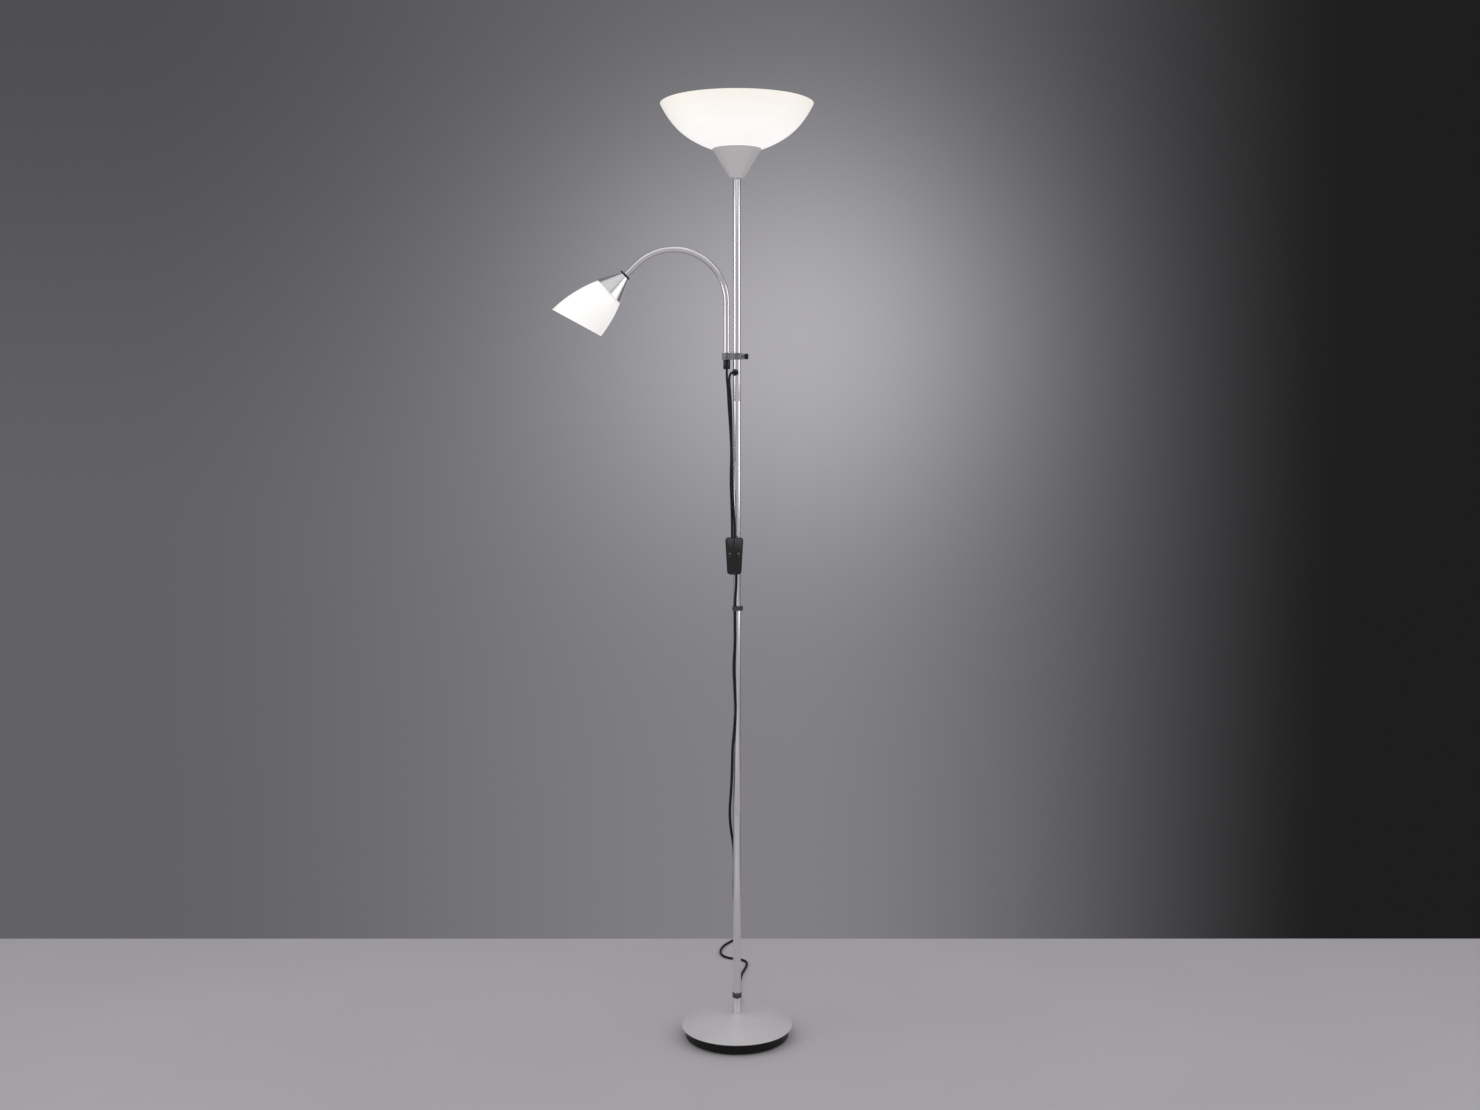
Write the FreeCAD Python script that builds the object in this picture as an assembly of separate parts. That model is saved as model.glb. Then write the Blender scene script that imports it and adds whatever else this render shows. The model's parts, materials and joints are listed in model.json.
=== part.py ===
"""Torchiere floor lamp with a reading light.

A sheet-metal base with an iron weight carries a sectional pole. The pole ends in a cone that holds
an opal bowl. A flexible arm in a sliding clamp holds an opal reading shade. Both lights are fed by
an in-line double switch that hangs on its cords in front of the pole.

Millimetres, +Z up, origin on the floor under the pole's axis. The reading arm points to -X and the
front, where the switch hangs, is -Y.
"""
import FreeCAD, Part
import math
import os

# ---------------------------------------------------------------- driving dimensions
# Base: feet, tray, weight and domed cover
foot_height = 4.0
foot_radius = 8.0
foot_circle_radius = 84.0
foot_count = 5
foot_start_deg = 90.0
foot_sole_fillet = 1.0
tray_floor_radius = 101.0
tray_rim_radius = 103.0
tray_height = 18.0
tray_wall = 2.0
tray_hole_radius = 16.0
cover_radius = 108.5
cover_lip_height = 2.4
cover_rise = 25.0
cover_sheet = 1.2
cover_hem_width = 9.0
cover_lip_overhang = 0.84
cover_lip_inset = 1.92
cover_hole_clearance = 0.15
weight_radius = 96.0
weight_thickness = 12.0
weight_hub_radius = 15.0
weight_hub_chamfer = 8.0
weight_seat_shoulder = 1.0
weight_recess_radius = 16.0
weight_recess_depth = 9.0
cap_flange_radius = 20.0
cap_spigot_height = 1.4
cap_spigot_clearance = 0.2

# Threaded parts (drawn without the thread itself)
stud_radius = 5.0
stud_length = 74.0
nut_flats = 17.0
nut_height = 7.0
washer_radius = 13.5
washer_thickness = 1.5
nipple_radius = 5.0
nipple_bore_radius = 3.4
locknut_height = 3.0
thread_clearance = 0.1
fit_clearance = 0.05
cut_overrun = 1.0

# Pole
pole_radius = 7.5
pole_wall = 1.0
pole_section_length = 400.0
pole_sections = 4
pole_foot_z = 45.0
pole_top_length = 416.6
coupler_length = 44.0
coupler_bore_radius = 3.2
insert_length = 22.0

# Upper holder and uplight
holder_foot_radius = 13.0
holder_rim_radius = 46.25
holder_height = 54.4
holder_sheet = 1.2
holder_floor = 2.0
bowl_wall = 3.0
bowl_hole_radius = 20.6
bowl_seat_drop = 4.0
bowl_sink_inset = 6.0
# Outer outline of the bowl from its seat on the holder's rim: radius and height above the seat
bowl_outline = [(60.0, 5.4), (83.0, 16.6), (108.8, 34.9), (125.6, 53.4), (138.0, 71.9), (144.0, 83.0)]
uplight_socket_radius = 19.8
uplight_socket_height = 52.0
uplight_hub_radius = 8.0
uplight_cavity_floor = 22.0
uplight_shell_length = 24.0
uplight_flange_radius = 27.0
uplight_cap_radius = 13.25
uplight_cap_length = 27.0
uplight_bulb_radius = 27.5
uplight_bulb_length = 98.0
uplight_ring_height = 5.0
socket_gap = 0.4
socket_nipple_reach = 9.0
socket_flange_thickness = 3.2
screw_shell_wall = 1.4
bulb_cap_gap = 2.5
wire_end_gap = 1.0

# Reading arm: a straight stem, an arc of hinged links and a straight end
arm_axis_x = -19.3
arm_radius = 6.0
arm_bore_radius = 3.3
arm_stem_rise = 101.0
arm_bend_radius = 100.0
arm_sweep_deg = 134.0
arm_link_count = 6
arm_end_length = 32.0
link_gap = 0.3
stop_ring_radius = 7.6
stop_ring_height = 3.0
relief_length = 17.55
relief_radius = 6.6
relief_tip_radius = 6.1
relief_spigot_length = 10.0
relief_taper_length = 1.2

# Clamp between the pole and the arm, its middle above the pole's top joint
clamp_rise = 84.0
clamp_height = 12.3
clamp_arm_ring_radius = 9.2
clamp_pole_ring_radius = 11.4
clamp_bridge_width = 13.8
clamp_boss_radius = 5.2
clamp_boss_reach = 14.0
running_clearance = 0.08
part_gap = 0.3
screw_shank_radius = 2.5
screw_head_radius = 5.4
screw_head_length = 3.0
screw_wing_length = 4.6
screw_wing_thickness = 2.4

# Reading light, measured along its own axis from the narrow end of its cone
collar_radius = 9.7
collar_length = 3.4
set_screw_radius = 1.3
set_screw_reach = 3.2
set_screw_gap = 0.2
head_foot_radius = 9.5
head_rim_radius = 32.5
head_height = 41.8
head_sheet = 1.2
head_floor = 2.0
shade_wall = 2.6
shade_hole_radius = 15.2
# Outer outline of the reading shade: radius and distance from the cone's rim
shade_outline = [(36.9, 19.0), (43.9, 43.5), (47.7, 62.4), (50.3, 87.0), (50.9, 100.7)]
shade_back_radius = 29.3
shade_long_side = 100.7
shade_short_side = 68.6
head_socket_radius = 14.4
head_socket_length = 46.0
head_hub_radius = 7.0
head_cavity_floor = 15.2
head_shell_length = 22.0
head_nipple_reach = 7.0
head_ring_height = 4.0
head_flange_radius = 20.0
head_cap_radius = 7.0
head_cap_length = 29.0
head_bulb_radius = 20.0
head_bulb_length = 74.0

# Cords
cord_diameter = 4.4
lead_diameter = 5.2
grommet_rise = 53.8
grommet_turn_deg = 30.0
grommet_radius = 6.4
grommet_neck_radius = 3.4
grommet_reach = 3.0
grommet_inner_reach = 0.6
grommet_neck_overlap = 1.0

# In-line double switch
switch_height = 71.0
switch_top_width = 35.0
switch_bottom_width = 27.0
switch_depth = 22.0
switch_wall = 2.0
switch_edge_fillet = 3.5
switch_corner_radius = 6.0
switch_facet_deg = 30.0
switch_ridge_radius = 2.0
switch_ridge_lean = 1.0
switch_drop = 259.0
switch_centre_x = -5.0
rocker_width = 7.0
rocker_height = 13.0
rocker_depth = 6.0
rocker_from_ridge = 8.6
rocker_rise = 37.0
rocker_proud = 1.2
rocker_pivot_depth = 3.6
rocker_crown_radius = 18.2
rocker_rest_tilt_deg = 6.0
rocker_side_clearance = 0.3
rocker_end_clearance = 0.9
rocker_pin_radius = 1.0
rocker_pin_length = 1.5
rocker_pin_end_gap = 0.2
bearing_wall = 1.6
bearing_height = 6.5
switch_screw_radius = 1.3
switch_screw_inset = 6.5
switch_screw_offset = 4.0
switch_screw_tip_gap = 1.0
switch_pillar_wall = 1.4
terminal_width = 4.0
terminal_depth = 5.0
terminal_height = 12.0
terminal_spacing = 6.5

# Cable clips on the pole
clip_wall = 1.5
clip_holder_wall = 1.4
clip_height = 8.7
clip_lug_reach = 11.5
clip_lug_width = 6.0
upper_clip_share = 0.0805
lower_clip_z = 83.0
upper_clip_lead = (-4.0, -9.7)
lower_clip_lead = (0.5, 10.5)

# Coil of the spare lead, its tie and the plug
coil_centre = (-24.0, 662.0)
coil_mean_radius = 29.0
coil_turns_per_layer = 2
coil_gap = 0.9
coil_floor_gap = 1.2
coil_climb_steepness = 0.75
tie_thickness = 0.8
tie_width = 6.0
tie_turn_deg = 200.0
plug_grip_length = 26.0
plug_width = 27.0
plug_thickness = 19.0
plug_tail_length = 30.0
plug_tail_tip_radius = 3.1
plug_tail_root_radius = 5.7
plug_side_fillet = 5.7
plug_pin_radius = 2.0
plug_pin_spacing = 19.0
plug_pin_length = 19.0

# ---------------------------------------------------------------- derived places
tray_top_z = foot_height + tray_height
cover_top_z = tray_top_z + cover_rise
weight_bottom_z = foot_height + tray_wall
pole_bore_radius = pole_radius - pole_wall
pole_joints = [pole_foot_z + pole_section_length * (i + 1) for i in range(pole_sections - 1)]
top_joint_z = pole_joints[-1]
pole_top_z = top_joint_z + pole_top_length
grommet_z = top_joint_z + grommet_rise
holder_rim_z = pole_top_z + holder_height
bowl_floor_z = holder_rim_z - bowl_seat_drop
socket_bottom_z = pole_top_z + holder_floor + locknut_height + socket_gap
clamp_z = top_joint_z + clamp_rise
clamp_bottom_z = clamp_z - clamp_height / 2
clamp_top_z = clamp_z + clamp_height / 2
arm_bottom_z = clamp_bottom_z - part_gap
arm_straight_top = clamp_z + arm_stem_rise
link_turn_deg = arm_sweep_deg / arm_link_count
hinge_angles_deg = [link_turn_deg * (i + 0.5) for i in range(arm_link_count)]
arc_centre = FreeCAD.Vector(arm_axis_x - arm_bend_radius, 0, arm_straight_top)
switch_back_y = -(pole_radius + part_gap)
switch_mid_y = switch_back_y - switch_depth / 2
switch_front_y = switch_back_y - switch_depth
switch_top_z = top_joint_z - switch_drop
switch_bottom_z = switch_top_z - switch_height
rocker_z = switch_bottom_z + rocker_rise
rocker_pivot_y = switch_front_y - rocker_proud + rocker_pivot_depth
lead_drop = switch_bottom_z - lower_clip_z
upper_clip_z = switch_bottom_z - lead_drop * upper_clip_share

AXIS_X = FreeCAD.Vector(1, 0, 0)
AXIS_Y = FreeCAD.Vector(0, 1, 0)
AXIS_Z = FreeCAD.Vector(0, 0, 1)
ORIGIN = FreeCAD.Vector(0, 0, 0)


# ---------------------------------------------------------------- cord routes, chosen by hand
coil_start_z = lead_diameter / 2 + coil_floor_gap

# Height above or below the pole's top joint
arm_cord_places = [
    (-19.3, 0.0, 60.0), (-19.3, 0.0, 43.0), (-17.0, -3.2, 21.0), (-15.8, -6.2, -9.0),
    (-12.8, -7.8, -49.0), (-10.4, -7.4, -97.0), (-12.2, -8.6, -147.0), (-10.6, -12.6, -191.0),
    (-9.4, -18.2, -227.0), (-9.3, -18.8, -259.0),
]
pole_cord_places = [
    (-5.25, -9.093, 53.8), (-10.5, -18.187, 53.8), (-14.1, -25.0, 46.6), (-14.4, -27.0, 35.0),
    (-13.0, -25.0, 19.0), (-11.4, -20.4, -4.0), (-10.4, -15.8, -41.0), (-9.8, -13.2, -93.0),
    (-8.6, -14.6, -145.0), (-7.0, -17.8, -193.0), (-4.6, -18.6, -229.0), (-4.3, -18.8, -259.0),
]
# Share of the drop from the switch's underside to the lower clip
hanging_lead_places = [
    (-1.2, -18.8, 0.0), (-1.2, -18.6, 0.0216), (-2.7, -12.6, 0.0457), (-4.0, -9.7, 0.0709),
    (-4.0, -9.7, 0.0986), (-3.2, -10.8, 0.1587), (-6.8, -9.7, 0.2139), (-4.4, -10.9, 0.2656),
    (-2.2, -11.4, 0.3137), (-4.6, -10.7, 0.3570), (-8.6, -8.6, 0.4050), (-9.4, -7.4, 0.4567),
    (-11.2, -5.6, 0.5084), (-14.6, -0.6, 0.5565), (-12.6, 6.4, 0.5998), (-6.4, 10.8, 0.6442),
    (-4.9, 12.4, 0.6971), (-6.6, 11.6, 0.7572), (-3.0, 12.0, 0.8173), (-0.6, 11.4, 0.8774),
    (0.7, 11.2, 0.9315), (0.5, 10.5, 0.9772),
]
# Down over the base's cover and along the floor behind it
floor_lead_places = [
    (0.5, 10.5, 76.0), (0.9, 18.9, 61.5), (1.6, 33.4, 53.2), (2.4, 53.0, 52.6), (3.4, 76.0, 48.5),
    (4.4, 97.0, 41.0), (4.4, 114.0, 31.5), (4.2, 130.5, 18.0), (4.2, 148.0, 5.5), (4.4, 170.0, 2.7),
    (4.0, 212.0, 2.7), (3.6, 262.0, 2.7), (5.4, 308.0, 2.7), (10.6, 350.0, 2.7), (17.6, 380.0, 2.7),
    (21.3, 404.0, 2.7), (21.0, 420.8, 2.7), (12.7, 435.2, 2.7), (-1.7, 443.5, 2.7),
    (-18.5, 447.0, 2.7), (-31.5, 459.5, 2.7), (-38.0, 478.0, 2.7), (-38.5, 502.0, 2.7),
    (-33.0, 528.0, 2.7), (-21.0, 554.0, 2.7), (-5.0, 578.0, 2.7), (6.4, 604.0, 3.1),
    (11.819, 636.01, 3.8), (11.244, 656.802, 3.8),
]
arm_cord_route = [(x, y, top_joint_z + height) for x, y, height in arm_cord_places]
pole_cord_route = [(x, y, top_joint_z + height) for x, y, height in pole_cord_places]
hanging_lead_route = [(x, y, switch_bottom_z - lead_drop * share) for x, y, share in hanging_lead_places]
mains_lead_route = hanging_lead_route + floor_lead_places


# ---------------------------------------------------------------- building blocks
def vector(x, y, z):
    return FreeCAD.Vector(x, y, z)


def cylinder(radius, length, base=ORIGIN, direction=AXIS_Z):
    return Part.makeCylinder(radius, length, base, direction)


def tube(outer_radius, inner_radius, length, base=ORIGIN, direction=AXIS_Z):
    """A straight tube; its bore runs past both ends before it is cut."""
    bore_base = base - direction * cut_overrun
    bore = cylinder(inner_radius, length + 2 * cut_overrun, bore_base, direction)
    return cylinder(outer_radius, length, base, direction).cut(bore)


def centred_box(size_x, size_y, size_z, centre):
    corner = centre - vector(size_x / 2, size_y / 2, size_z / 2)
    return Part.makeBox(size_x, size_y, size_z, corner)


def turned(outline):
    """Solid turned about Z from a closed outline of (radius, height) points."""
    points = [vector(radius, 0, height) for radius, height in outline]
    face = Part.Face(Part.makePolygon(points + [points[0]]))
    return face.revolve(ORIGIN, AXIS_Z, 360)


def turned_edges(edges):
    """Solid turned about Z from connected edges that close an outline in the XZ plane."""
    face = Part.Face(Part.Wire(edges))
    return face.revolve(ORIGIN, AXIS_Z, 360)


def smooth_curve(points):
    curve = Part.BSplineCurve()
    curve.interpolate(points)
    return curve


def inset_points(curve, points, wall):
    """Each point of a curve in the XZ plane, moved towards the axis by the wall along its normal."""
    moved = []
    for point in points:
        tangent = curve.tangent(curve.parameter(point))[0]
        inward = vector(-tangent.z, 0, tangent.x)
        moved.append(point + inward * wall)
    return moved


def one_solid(shape):
    """The single solid of a boolean's result."""
    return shape.Solids[0] if len(shape.Solids) == 1 else shape


def hexagon(flats, height, bore_radius, base_z):
    corner_radius = flats / math.sqrt(3)
    corners = []
    for i in range(6):
        angle = math.radians(60 * i)
        corners.append(vector(corner_radius * math.cos(angle), corner_radius * math.sin(angle), base_z))
    face = Part.Face(Part.makePolygon(corners + [corners[0]]))
    prism = face.extrude(AXIS_Z * height)
    return prism.cut(cylinder(bore_radius, height + 2 * cut_overrun, vector(0, 0, base_z - cut_overrun)))


def export(node, shape):
    if not shape.isValid():
        print("NOT VALID:", node)
    shape.exportStep(os.path.join("parts", node + ".step"))


# ---------------------------------------------------------------- base
def dome_height(radius):
    """Height of the cover's outer face above the floor at a distance from the pole's axis."""
    rise = cover_rise - cover_lip_height
    sphere_radius = (cover_radius ** 2 + rise ** 2) / (2 * rise)
    return cover_top_z - sphere_radius + math.sqrt(sphere_radius ** 2 - radius ** 2)


def dome_arc(inner_radius, outer_radius, inset):
    middle_radius = (inner_radius + outer_radius) / 2
    points = [vector(r, 0, dome_height(r) - inset) for r in (inner_radius, middle_radius, outer_radius)]
    return Part.Arc(*points).toShape()


def base_cover():
    """Shallow dome with a rounded lip and a flat hem that sits on the tray's rim."""
    hole_radius = pole_radius + cover_hole_clearance
    dome_edge_radius = cover_radius - cover_lip_overhang
    inner_edge_radius = cover_radius - cover_lip_inset
    hem_top_z = tray_top_z + cover_sheet
    hem_inner_radius = cover_radius - cover_hem_width
    outer_arc = dome_arc(hole_radius, dome_edge_radius, 0)
    inner_arc = dome_arc(hole_radius, inner_edge_radius, cover_sheet)
    outer_end = vector(dome_edge_radius, 0, dome_height(dome_edge_radius))
    inner_end = vector(inner_edge_radius, 0, dome_height(inner_edge_radius) - cover_sheet)
    lip_bottom = vector(cover_radius - cover_sheet, 0, tray_top_z)
    lip_middle = vector(cover_radius, 0, tray_top_z + cover_lip_height / 2)
    hem_corner = vector(hem_inner_radius, 0, tray_top_z)
    hem_top = vector(hem_inner_radius, 0, hem_top_z)
    hem_turn = vector(inner_edge_radius, 0, hem_top_z)
    hole_edge = Part.makeLine(vector(hole_radius, 0, dome_height(hole_radius) - cover_sheet),
                              vector(hole_radius, 0, dome_height(hole_radius)))
    edges = [
        outer_arc,
        Part.Arc(outer_end, lip_middle, lip_bottom).toShape(),
        Part.makeLine(lip_bottom, hem_corner),
        Part.makeLine(hem_corner, hem_top),
        Part.makeLine(hem_top, hem_turn),
        Part.makeLine(hem_turn, inner_end),
        inner_arc,
        hole_edge,
    ]
    return turned_edges(Part.__sortEdges__(edges))


def base_tray():
    """Black pan under the cover, with a hole for the nut's cap."""
    outline = [
        (tray_hole_radius, foot_height),
        (tray_floor_radius, foot_height),
        (tray_rim_radius, tray_top_z),
        (tray_rim_radius - tray_wall, tray_top_z),
        (tray_floor_radius - tray_wall, foot_height + tray_wall),
        (tray_hole_radius, foot_height + tray_wall),
    ]
    return turned(outline)


def base_weight():
    """Iron disc with a hub that carries the pole's foot, bored for the stud."""
    disc_top_z = weight_bottom_z + weight_thickness
    outline = [
        (stud_radius + thread_clearance, weight_bottom_z + weight_recess_depth),
        (weight_recess_radius, weight_bottom_z + weight_recess_depth),
        (weight_recess_radius, weight_bottom_z),
        (weight_radius, weight_bottom_z),
        (weight_radius, disc_top_z),
        (weight_hub_radius + weight_hub_chamfer, disc_top_z),
        (weight_hub_radius, disc_top_z + weight_hub_chamfer),
        (weight_hub_radius, dome_height(weight_hub_radius) - cover_sheet - part_gap),
        (pole_radius + weight_seat_shoulder, pole_foot_z),
        (stud_radius + thread_clearance, pole_foot_z),
    ]
    return turned(outline)


def base_feet():
    """Rubber pads under the tray, their soles on the floor."""
    pads = []
    for i in range(foot_count):
        angle = math.radians(foot_start_deg + 360 * i / foot_count)
        place = vector(foot_circle_radius * math.cos(angle), foot_circle_radius * math.sin(angle), 0)
        pad = cylinder(foot_radius, foot_height, place)
        sole = [edge for edge in pad.Edges if edge.BoundBox.ZMax < 0.01 and edge.Closed]
        pads.append(pad.makeFillet(foot_sole_fillet, sole))
    return Part.makeCompound(pads)


def base_nut_cap():
    """Central foot that plugs the tray's hole under the nut; its sole is the mount face."""
    flange = cylinder(cap_flange_radius, foot_height)
    spigot = cylinder(tray_hole_radius - cap_spigot_clearance, cap_spigot_height, vector(0, 0, foot_height))
    return one_solid(flange.fuse(spigot).removeSplitter())


washer_bottom_z = weight_bottom_z + weight_recess_depth - washer_thickness
nut_bottom_z = washer_bottom_z - nut_height


def base_washer():
    bore_radius = stud_radius + thread_clearance
    return tube(washer_radius, bore_radius, washer_thickness, vector(0, 0, washer_bottom_z))


def base_nut():
    return hexagon(nut_flats, nut_height, stud_radius, nut_bottom_z)


def base_stud():
    """Threaded rod from the nut up into the pole's foot insert."""
    return cylinder(stud_radius, stud_length, vector(0, 0, nut_bottom_z))


# ---------------------------------------------------------------- pole
def pole_ends(index):
    bottom = pole_foot_z + pole_section_length * index
    top = pole_top_z if index == pole_sections - 1 else bottom + pole_section_length
    return bottom, top


def grommet_direction():
    angle = math.radians(grommet_turn_deg)
    return vector(-math.sin(angle), -math.cos(angle), 0)


def pole_tube(index):
    """One pole section; the one behind the grommet has the hole for it."""
    bottom, top = pole_ends(index)
    section = tube(pole_radius, pole_bore_radius, top - bottom, vector(0, 0, bottom))
    if bottom < grommet_z < top:
        hole = cylinder(grommet_neck_radius + fit_clearance, pole_radius * 2, vector(0, 0, grommet_z),
                        grommet_direction())
        section = section.cut(hole)
    return one_solid(section)


def pole_couplers():
    """Sleeves inside the pole that join its sections."""
    sleeves = []
    for joint_z in pole_joints:
        base = vector(0, 0, joint_z - coupler_length / 2)
        sleeves.append(tube(pole_bore_radius, coupler_bore_radius, coupler_length, base))
    return Part.makeCompound(sleeves)


def pole_foot_insert():
    return tube(pole_bore_radius, stud_radius, insert_length, vector(0, 0, pole_foot_z))


def pole_top_insert():
    return tube(pole_bore_radius, nipple_radius, insert_length, vector(0, 0, pole_top_z - insert_length))


def pole_grommet():
    """Bush that lines the cord's hole in the pole, its flange saddled on the tube."""
    direction = grommet_direction()
    centre = vector(0, 0, grommet_z)
    flange_start = pole_radius / 2
    flange = cylinder(grommet_radius, pole_radius + grommet_reach - flange_start,
                      centre + direction * flange_start, direction)
    saddle = cylinder(pole_radius + fit_clearance, grommet_radius * 4,
                      vector(0, 0, grommet_z - grommet_radius * 2))
    neck_start = pole_bore_radius - grommet_inner_reach
    neck_end = pole_radius + grommet_neck_overlap
    neck = cylinder(grommet_neck_radius, neck_end - neck_start, centre + direction * neck_start, direction)
    bore = cylinder(cord_diameter / 2 + fit_clearance, pole_radius * 3, centre, direction)
    flange = flange.cut(saddle)
    return one_solid(flange.fuse(neck).cut(bore).removeSplitter())


# ---------------------------------------------------------------- uplight
def cone_inner_radius(narrow_radius, rim_radius, height, sheet):
    """Inner radius of a sheet cone at its rim."""
    slope = math.atan2(rim_radius - narrow_radius, height)
    return rim_radius - sheet / math.cos(slope)


def open_cone(narrow_radius, rim_radius, height, sheet, floor, hole_radius):
    """Sheet cone with a floor, open at its wide end; the narrow end is at height zero."""
    inner_rim_radius = cone_inner_radius(narrow_radius, rim_radius, height, sheet)
    inner_shift = rim_radius - inner_rim_radius
    inner_floor_radius = narrow_radius - inner_shift + floor * (rim_radius - narrow_radius) / height
    outline = [
        (hole_radius, 0),
        (narrow_radius, 0),
        (rim_radius, height),
        (inner_rim_radius, height),
        (inner_floor_radius, floor),
        (hole_radius, floor),
    ]
    return turned(outline)


def lifted(shape, height):
    moved = shape.copy()
    moved.translate(vector(0, 0, height))
    return moved


def holder_cone():
    cone = open_cone(holder_foot_radius, holder_rim_radius, holder_height, holder_sheet, holder_floor,
                     nipple_radius + thread_clearance)
    return lifted(cone, pole_top_z)


def uplight_nipple():
    """Threaded tube that ties the pole, the cone and the lampholder together."""
    bottom = pole_top_z - insert_length
    top = socket_bottom_z + socket_nipple_reach
    return tube(nipple_radius, nipple_bore_radius, top - bottom, vector(0, 0, bottom))


def uplight_locknut():
    return hexagon(nut_flats, locknut_height, nipple_radius, pole_top_z + holder_floor)


def lampholder(outer_radius, height, hub_radius, flange_radius, flange_z, bore_radius, bore_floor):
    """Lampholder standing on its hub at height zero, with a flange that carries the shade."""
    flange_bottom = flange_z - socket_flange_thickness
    waist_radius = hub_radius + (outer_radius - hub_radius) * 0.6
    neck_height = height * 0.16
    waist_height = height * 0.28
    shoulder_height = height * 0.46
    outline = [
        (nipple_radius, 0),
        (hub_radius, 0),
        (hub_radius, neck_height),
        (waist_radius, waist_height),
        (outer_radius, shoulder_height),
        (outer_radius, flange_bottom),
        (flange_radius, flange_bottom),
        (flange_radius, flange_z),
        (outer_radius, flange_z),
        (outer_radius, height),
        (bore_radius, height),
        (bore_radius, bore_floor),
        (nipple_radius, bore_floor),
    ]
    return turned(outline)


def screw_shell(cap_radius, length, base_z):
    """Brass sleeve in which a bulb's cap sits."""
    inner_radius = cap_radius + fit_clearance
    return tube(inner_radius + screw_shell_wall, inner_radius, length, vector(0, 0, base_z))


def cavity_radius(cap_radius):
    """Radius of the lampholder's cavity, which takes the sleeve."""
    return cap_radius + screw_shell_wall + 2 * fit_clearance


def uplight_lampholder():
    flange_height = bowl_floor_z - socket_bottom_z
    body = lampholder(uplight_socket_radius, uplight_socket_height, uplight_hub_radius,
                      uplight_flange_radius, flange_height, cavity_radius(uplight_cap_radius),
                      uplight_cavity_floor)
    return lifted(body, socket_bottom_z)


def uplight_screw_shell():
    return screw_shell(uplight_cap_radius, uplight_shell_length, socket_bottom_z + uplight_cavity_floor)


def bulb(cap_radius, cap_length, globe_radius, length):
    """Lamp bulb standing on its cap at height zero: cap, swelling neck and round globe."""
    globe_centre = length - globe_radius
    join_angle = math.radians(-25)
    join = vector(globe_radius * math.cos(join_angle), 0, globe_centre + globe_radius * math.sin(join_angle))
    side = vector(globe_radius, 0, globe_centre)
    top = vector(0, 0, length)
    high_angle = math.radians(50)
    high = vector(globe_radius * math.cos(high_angle), 0, globe_centre + globe_radius * math.sin(high_angle))
    low_angle = math.radians(-12)
    low = vector(globe_radius * math.cos(low_angle), 0, globe_centre + globe_radius * math.sin(low_angle))
    cap_top = vector(cap_radius, 0, cap_length)
    edges = [
        Part.makeLine(ORIGIN, vector(cap_radius, 0, 0)),
        Part.makeLine(vector(cap_radius, 0, 0), cap_top),
        Part.makeLine(cap_top, join),
        Part.Arc(join, low, side).toShape(),
        Part.Arc(side, high, top).toShape(),
        Part.makeLine(top, ORIGIN),
    ]
    return turned_edges(edges)


def uplight_bulb():
    shape = bulb(uplight_cap_radius, uplight_cap_length, uplight_bulb_radius, uplight_bulb_length)
    return lifted(shape, socket_bottom_z + uplight_cavity_floor + bulb_cap_gap)


def shell_of_curve(outer_points, wall, floor_outline):
    """Turned shell: a smooth outer curve, the same curve inset by the wall, and a polygon floor.

    The floor outline runs from the inner curve's foot to the outer curve's foot.
    """
    outer = smooth_curve(outer_points)
    inner_points = inset_points(outer, outer_points, wall)
    inner = smooth_curve(inner_points)
    floor_points = [inner_points[0]] + floor_outline + [outer_points[0]]
    edges = [outer.toShape(), Part.makeLine(outer_points[-1], inner_points[-1]), inner.toShape()]
    for start, end in zip(floor_points, floor_points[1:]):
        edges.append(Part.makeLine(start, end))
    return turned_edges(Part.__sortEdges__(edges))


def uplight_shade():
    """Opal bowl on the cone's rim; its sunk floor rests on the lampholder's flange."""
    seat_radius = cone_inner_radius(holder_foot_radius, holder_rim_radius, holder_height, holder_sheet)
    outer_points = [vector(seat_radius, 0, holder_rim_z + fit_clearance)]
    outer_points += [vector(radius, 0, holder_rim_z + height) for radius, height in bowl_outline]
    sink_radius = seat_radius - bowl_sink_inset
    floor_outline = [
        vector(sink_radius - bowl_wall, 0, bowl_floor_z + bowl_wall),
        vector(bowl_hole_radius, 0, bowl_floor_z + bowl_wall),
        vector(bowl_hole_radius, 0, bowl_floor_z),
        vector(sink_radius, 0, bowl_floor_z),
    ]
    return shell_of_curve(outer_points, bowl_wall, floor_outline)


def uplight_ring():
    """Ring screwed on the lampholder that holds the bowl down."""
    base = vector(0, 0, bowl_floor_z + bowl_wall)
    return tube(uplight_flange_radius, uplight_socket_radius, uplight_ring_height, base)


def inner_wire():
    """Cord held inside the pole, from the grommet up to the lampholder."""
    start = grommet_direction() * (pole_radius + grommet_reach) + AXIS_Z * grommet_z
    corner = AXIS_Z * grommet_z
    end = AXIS_Z * (socket_bottom_z + uplight_cavity_floor - wire_end_gap)
    return cord_tube([start, corner, end], cord_diameter, "inner_wire")


# ---------------------------------------------------------------- reading arm
def arc_point(angle_deg):
    angle = math.radians(angle_deg)
    return arc_centre + vector(math.cos(angle), 0, math.sin(angle)) * arm_bend_radius


def arc_tangent(angle_deg):
    angle = math.radians(angle_deg)
    return vector(-math.sin(angle), 0, math.cos(angle))


def arc_rod(start_deg, end_deg, radius):
    """Round rod that follows the arm's arc between two angles."""
    circle = Part.Circle(arc_point(start_deg), arc_tangent(start_deg), radius).toShape()
    disc = Part.Face(Part.Wire([circle]))
    return disc.revolve(arc_centre, AXIS_Y * -1, end_deg - start_deg)


def ball_end(hinge_deg):
    """Half ball that closes a link at its hinge."""
    return Part.makeSphere(arm_radius, arc_point(hinge_deg), arc_tangent(hinge_deg), 0, 90, 360)


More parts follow.
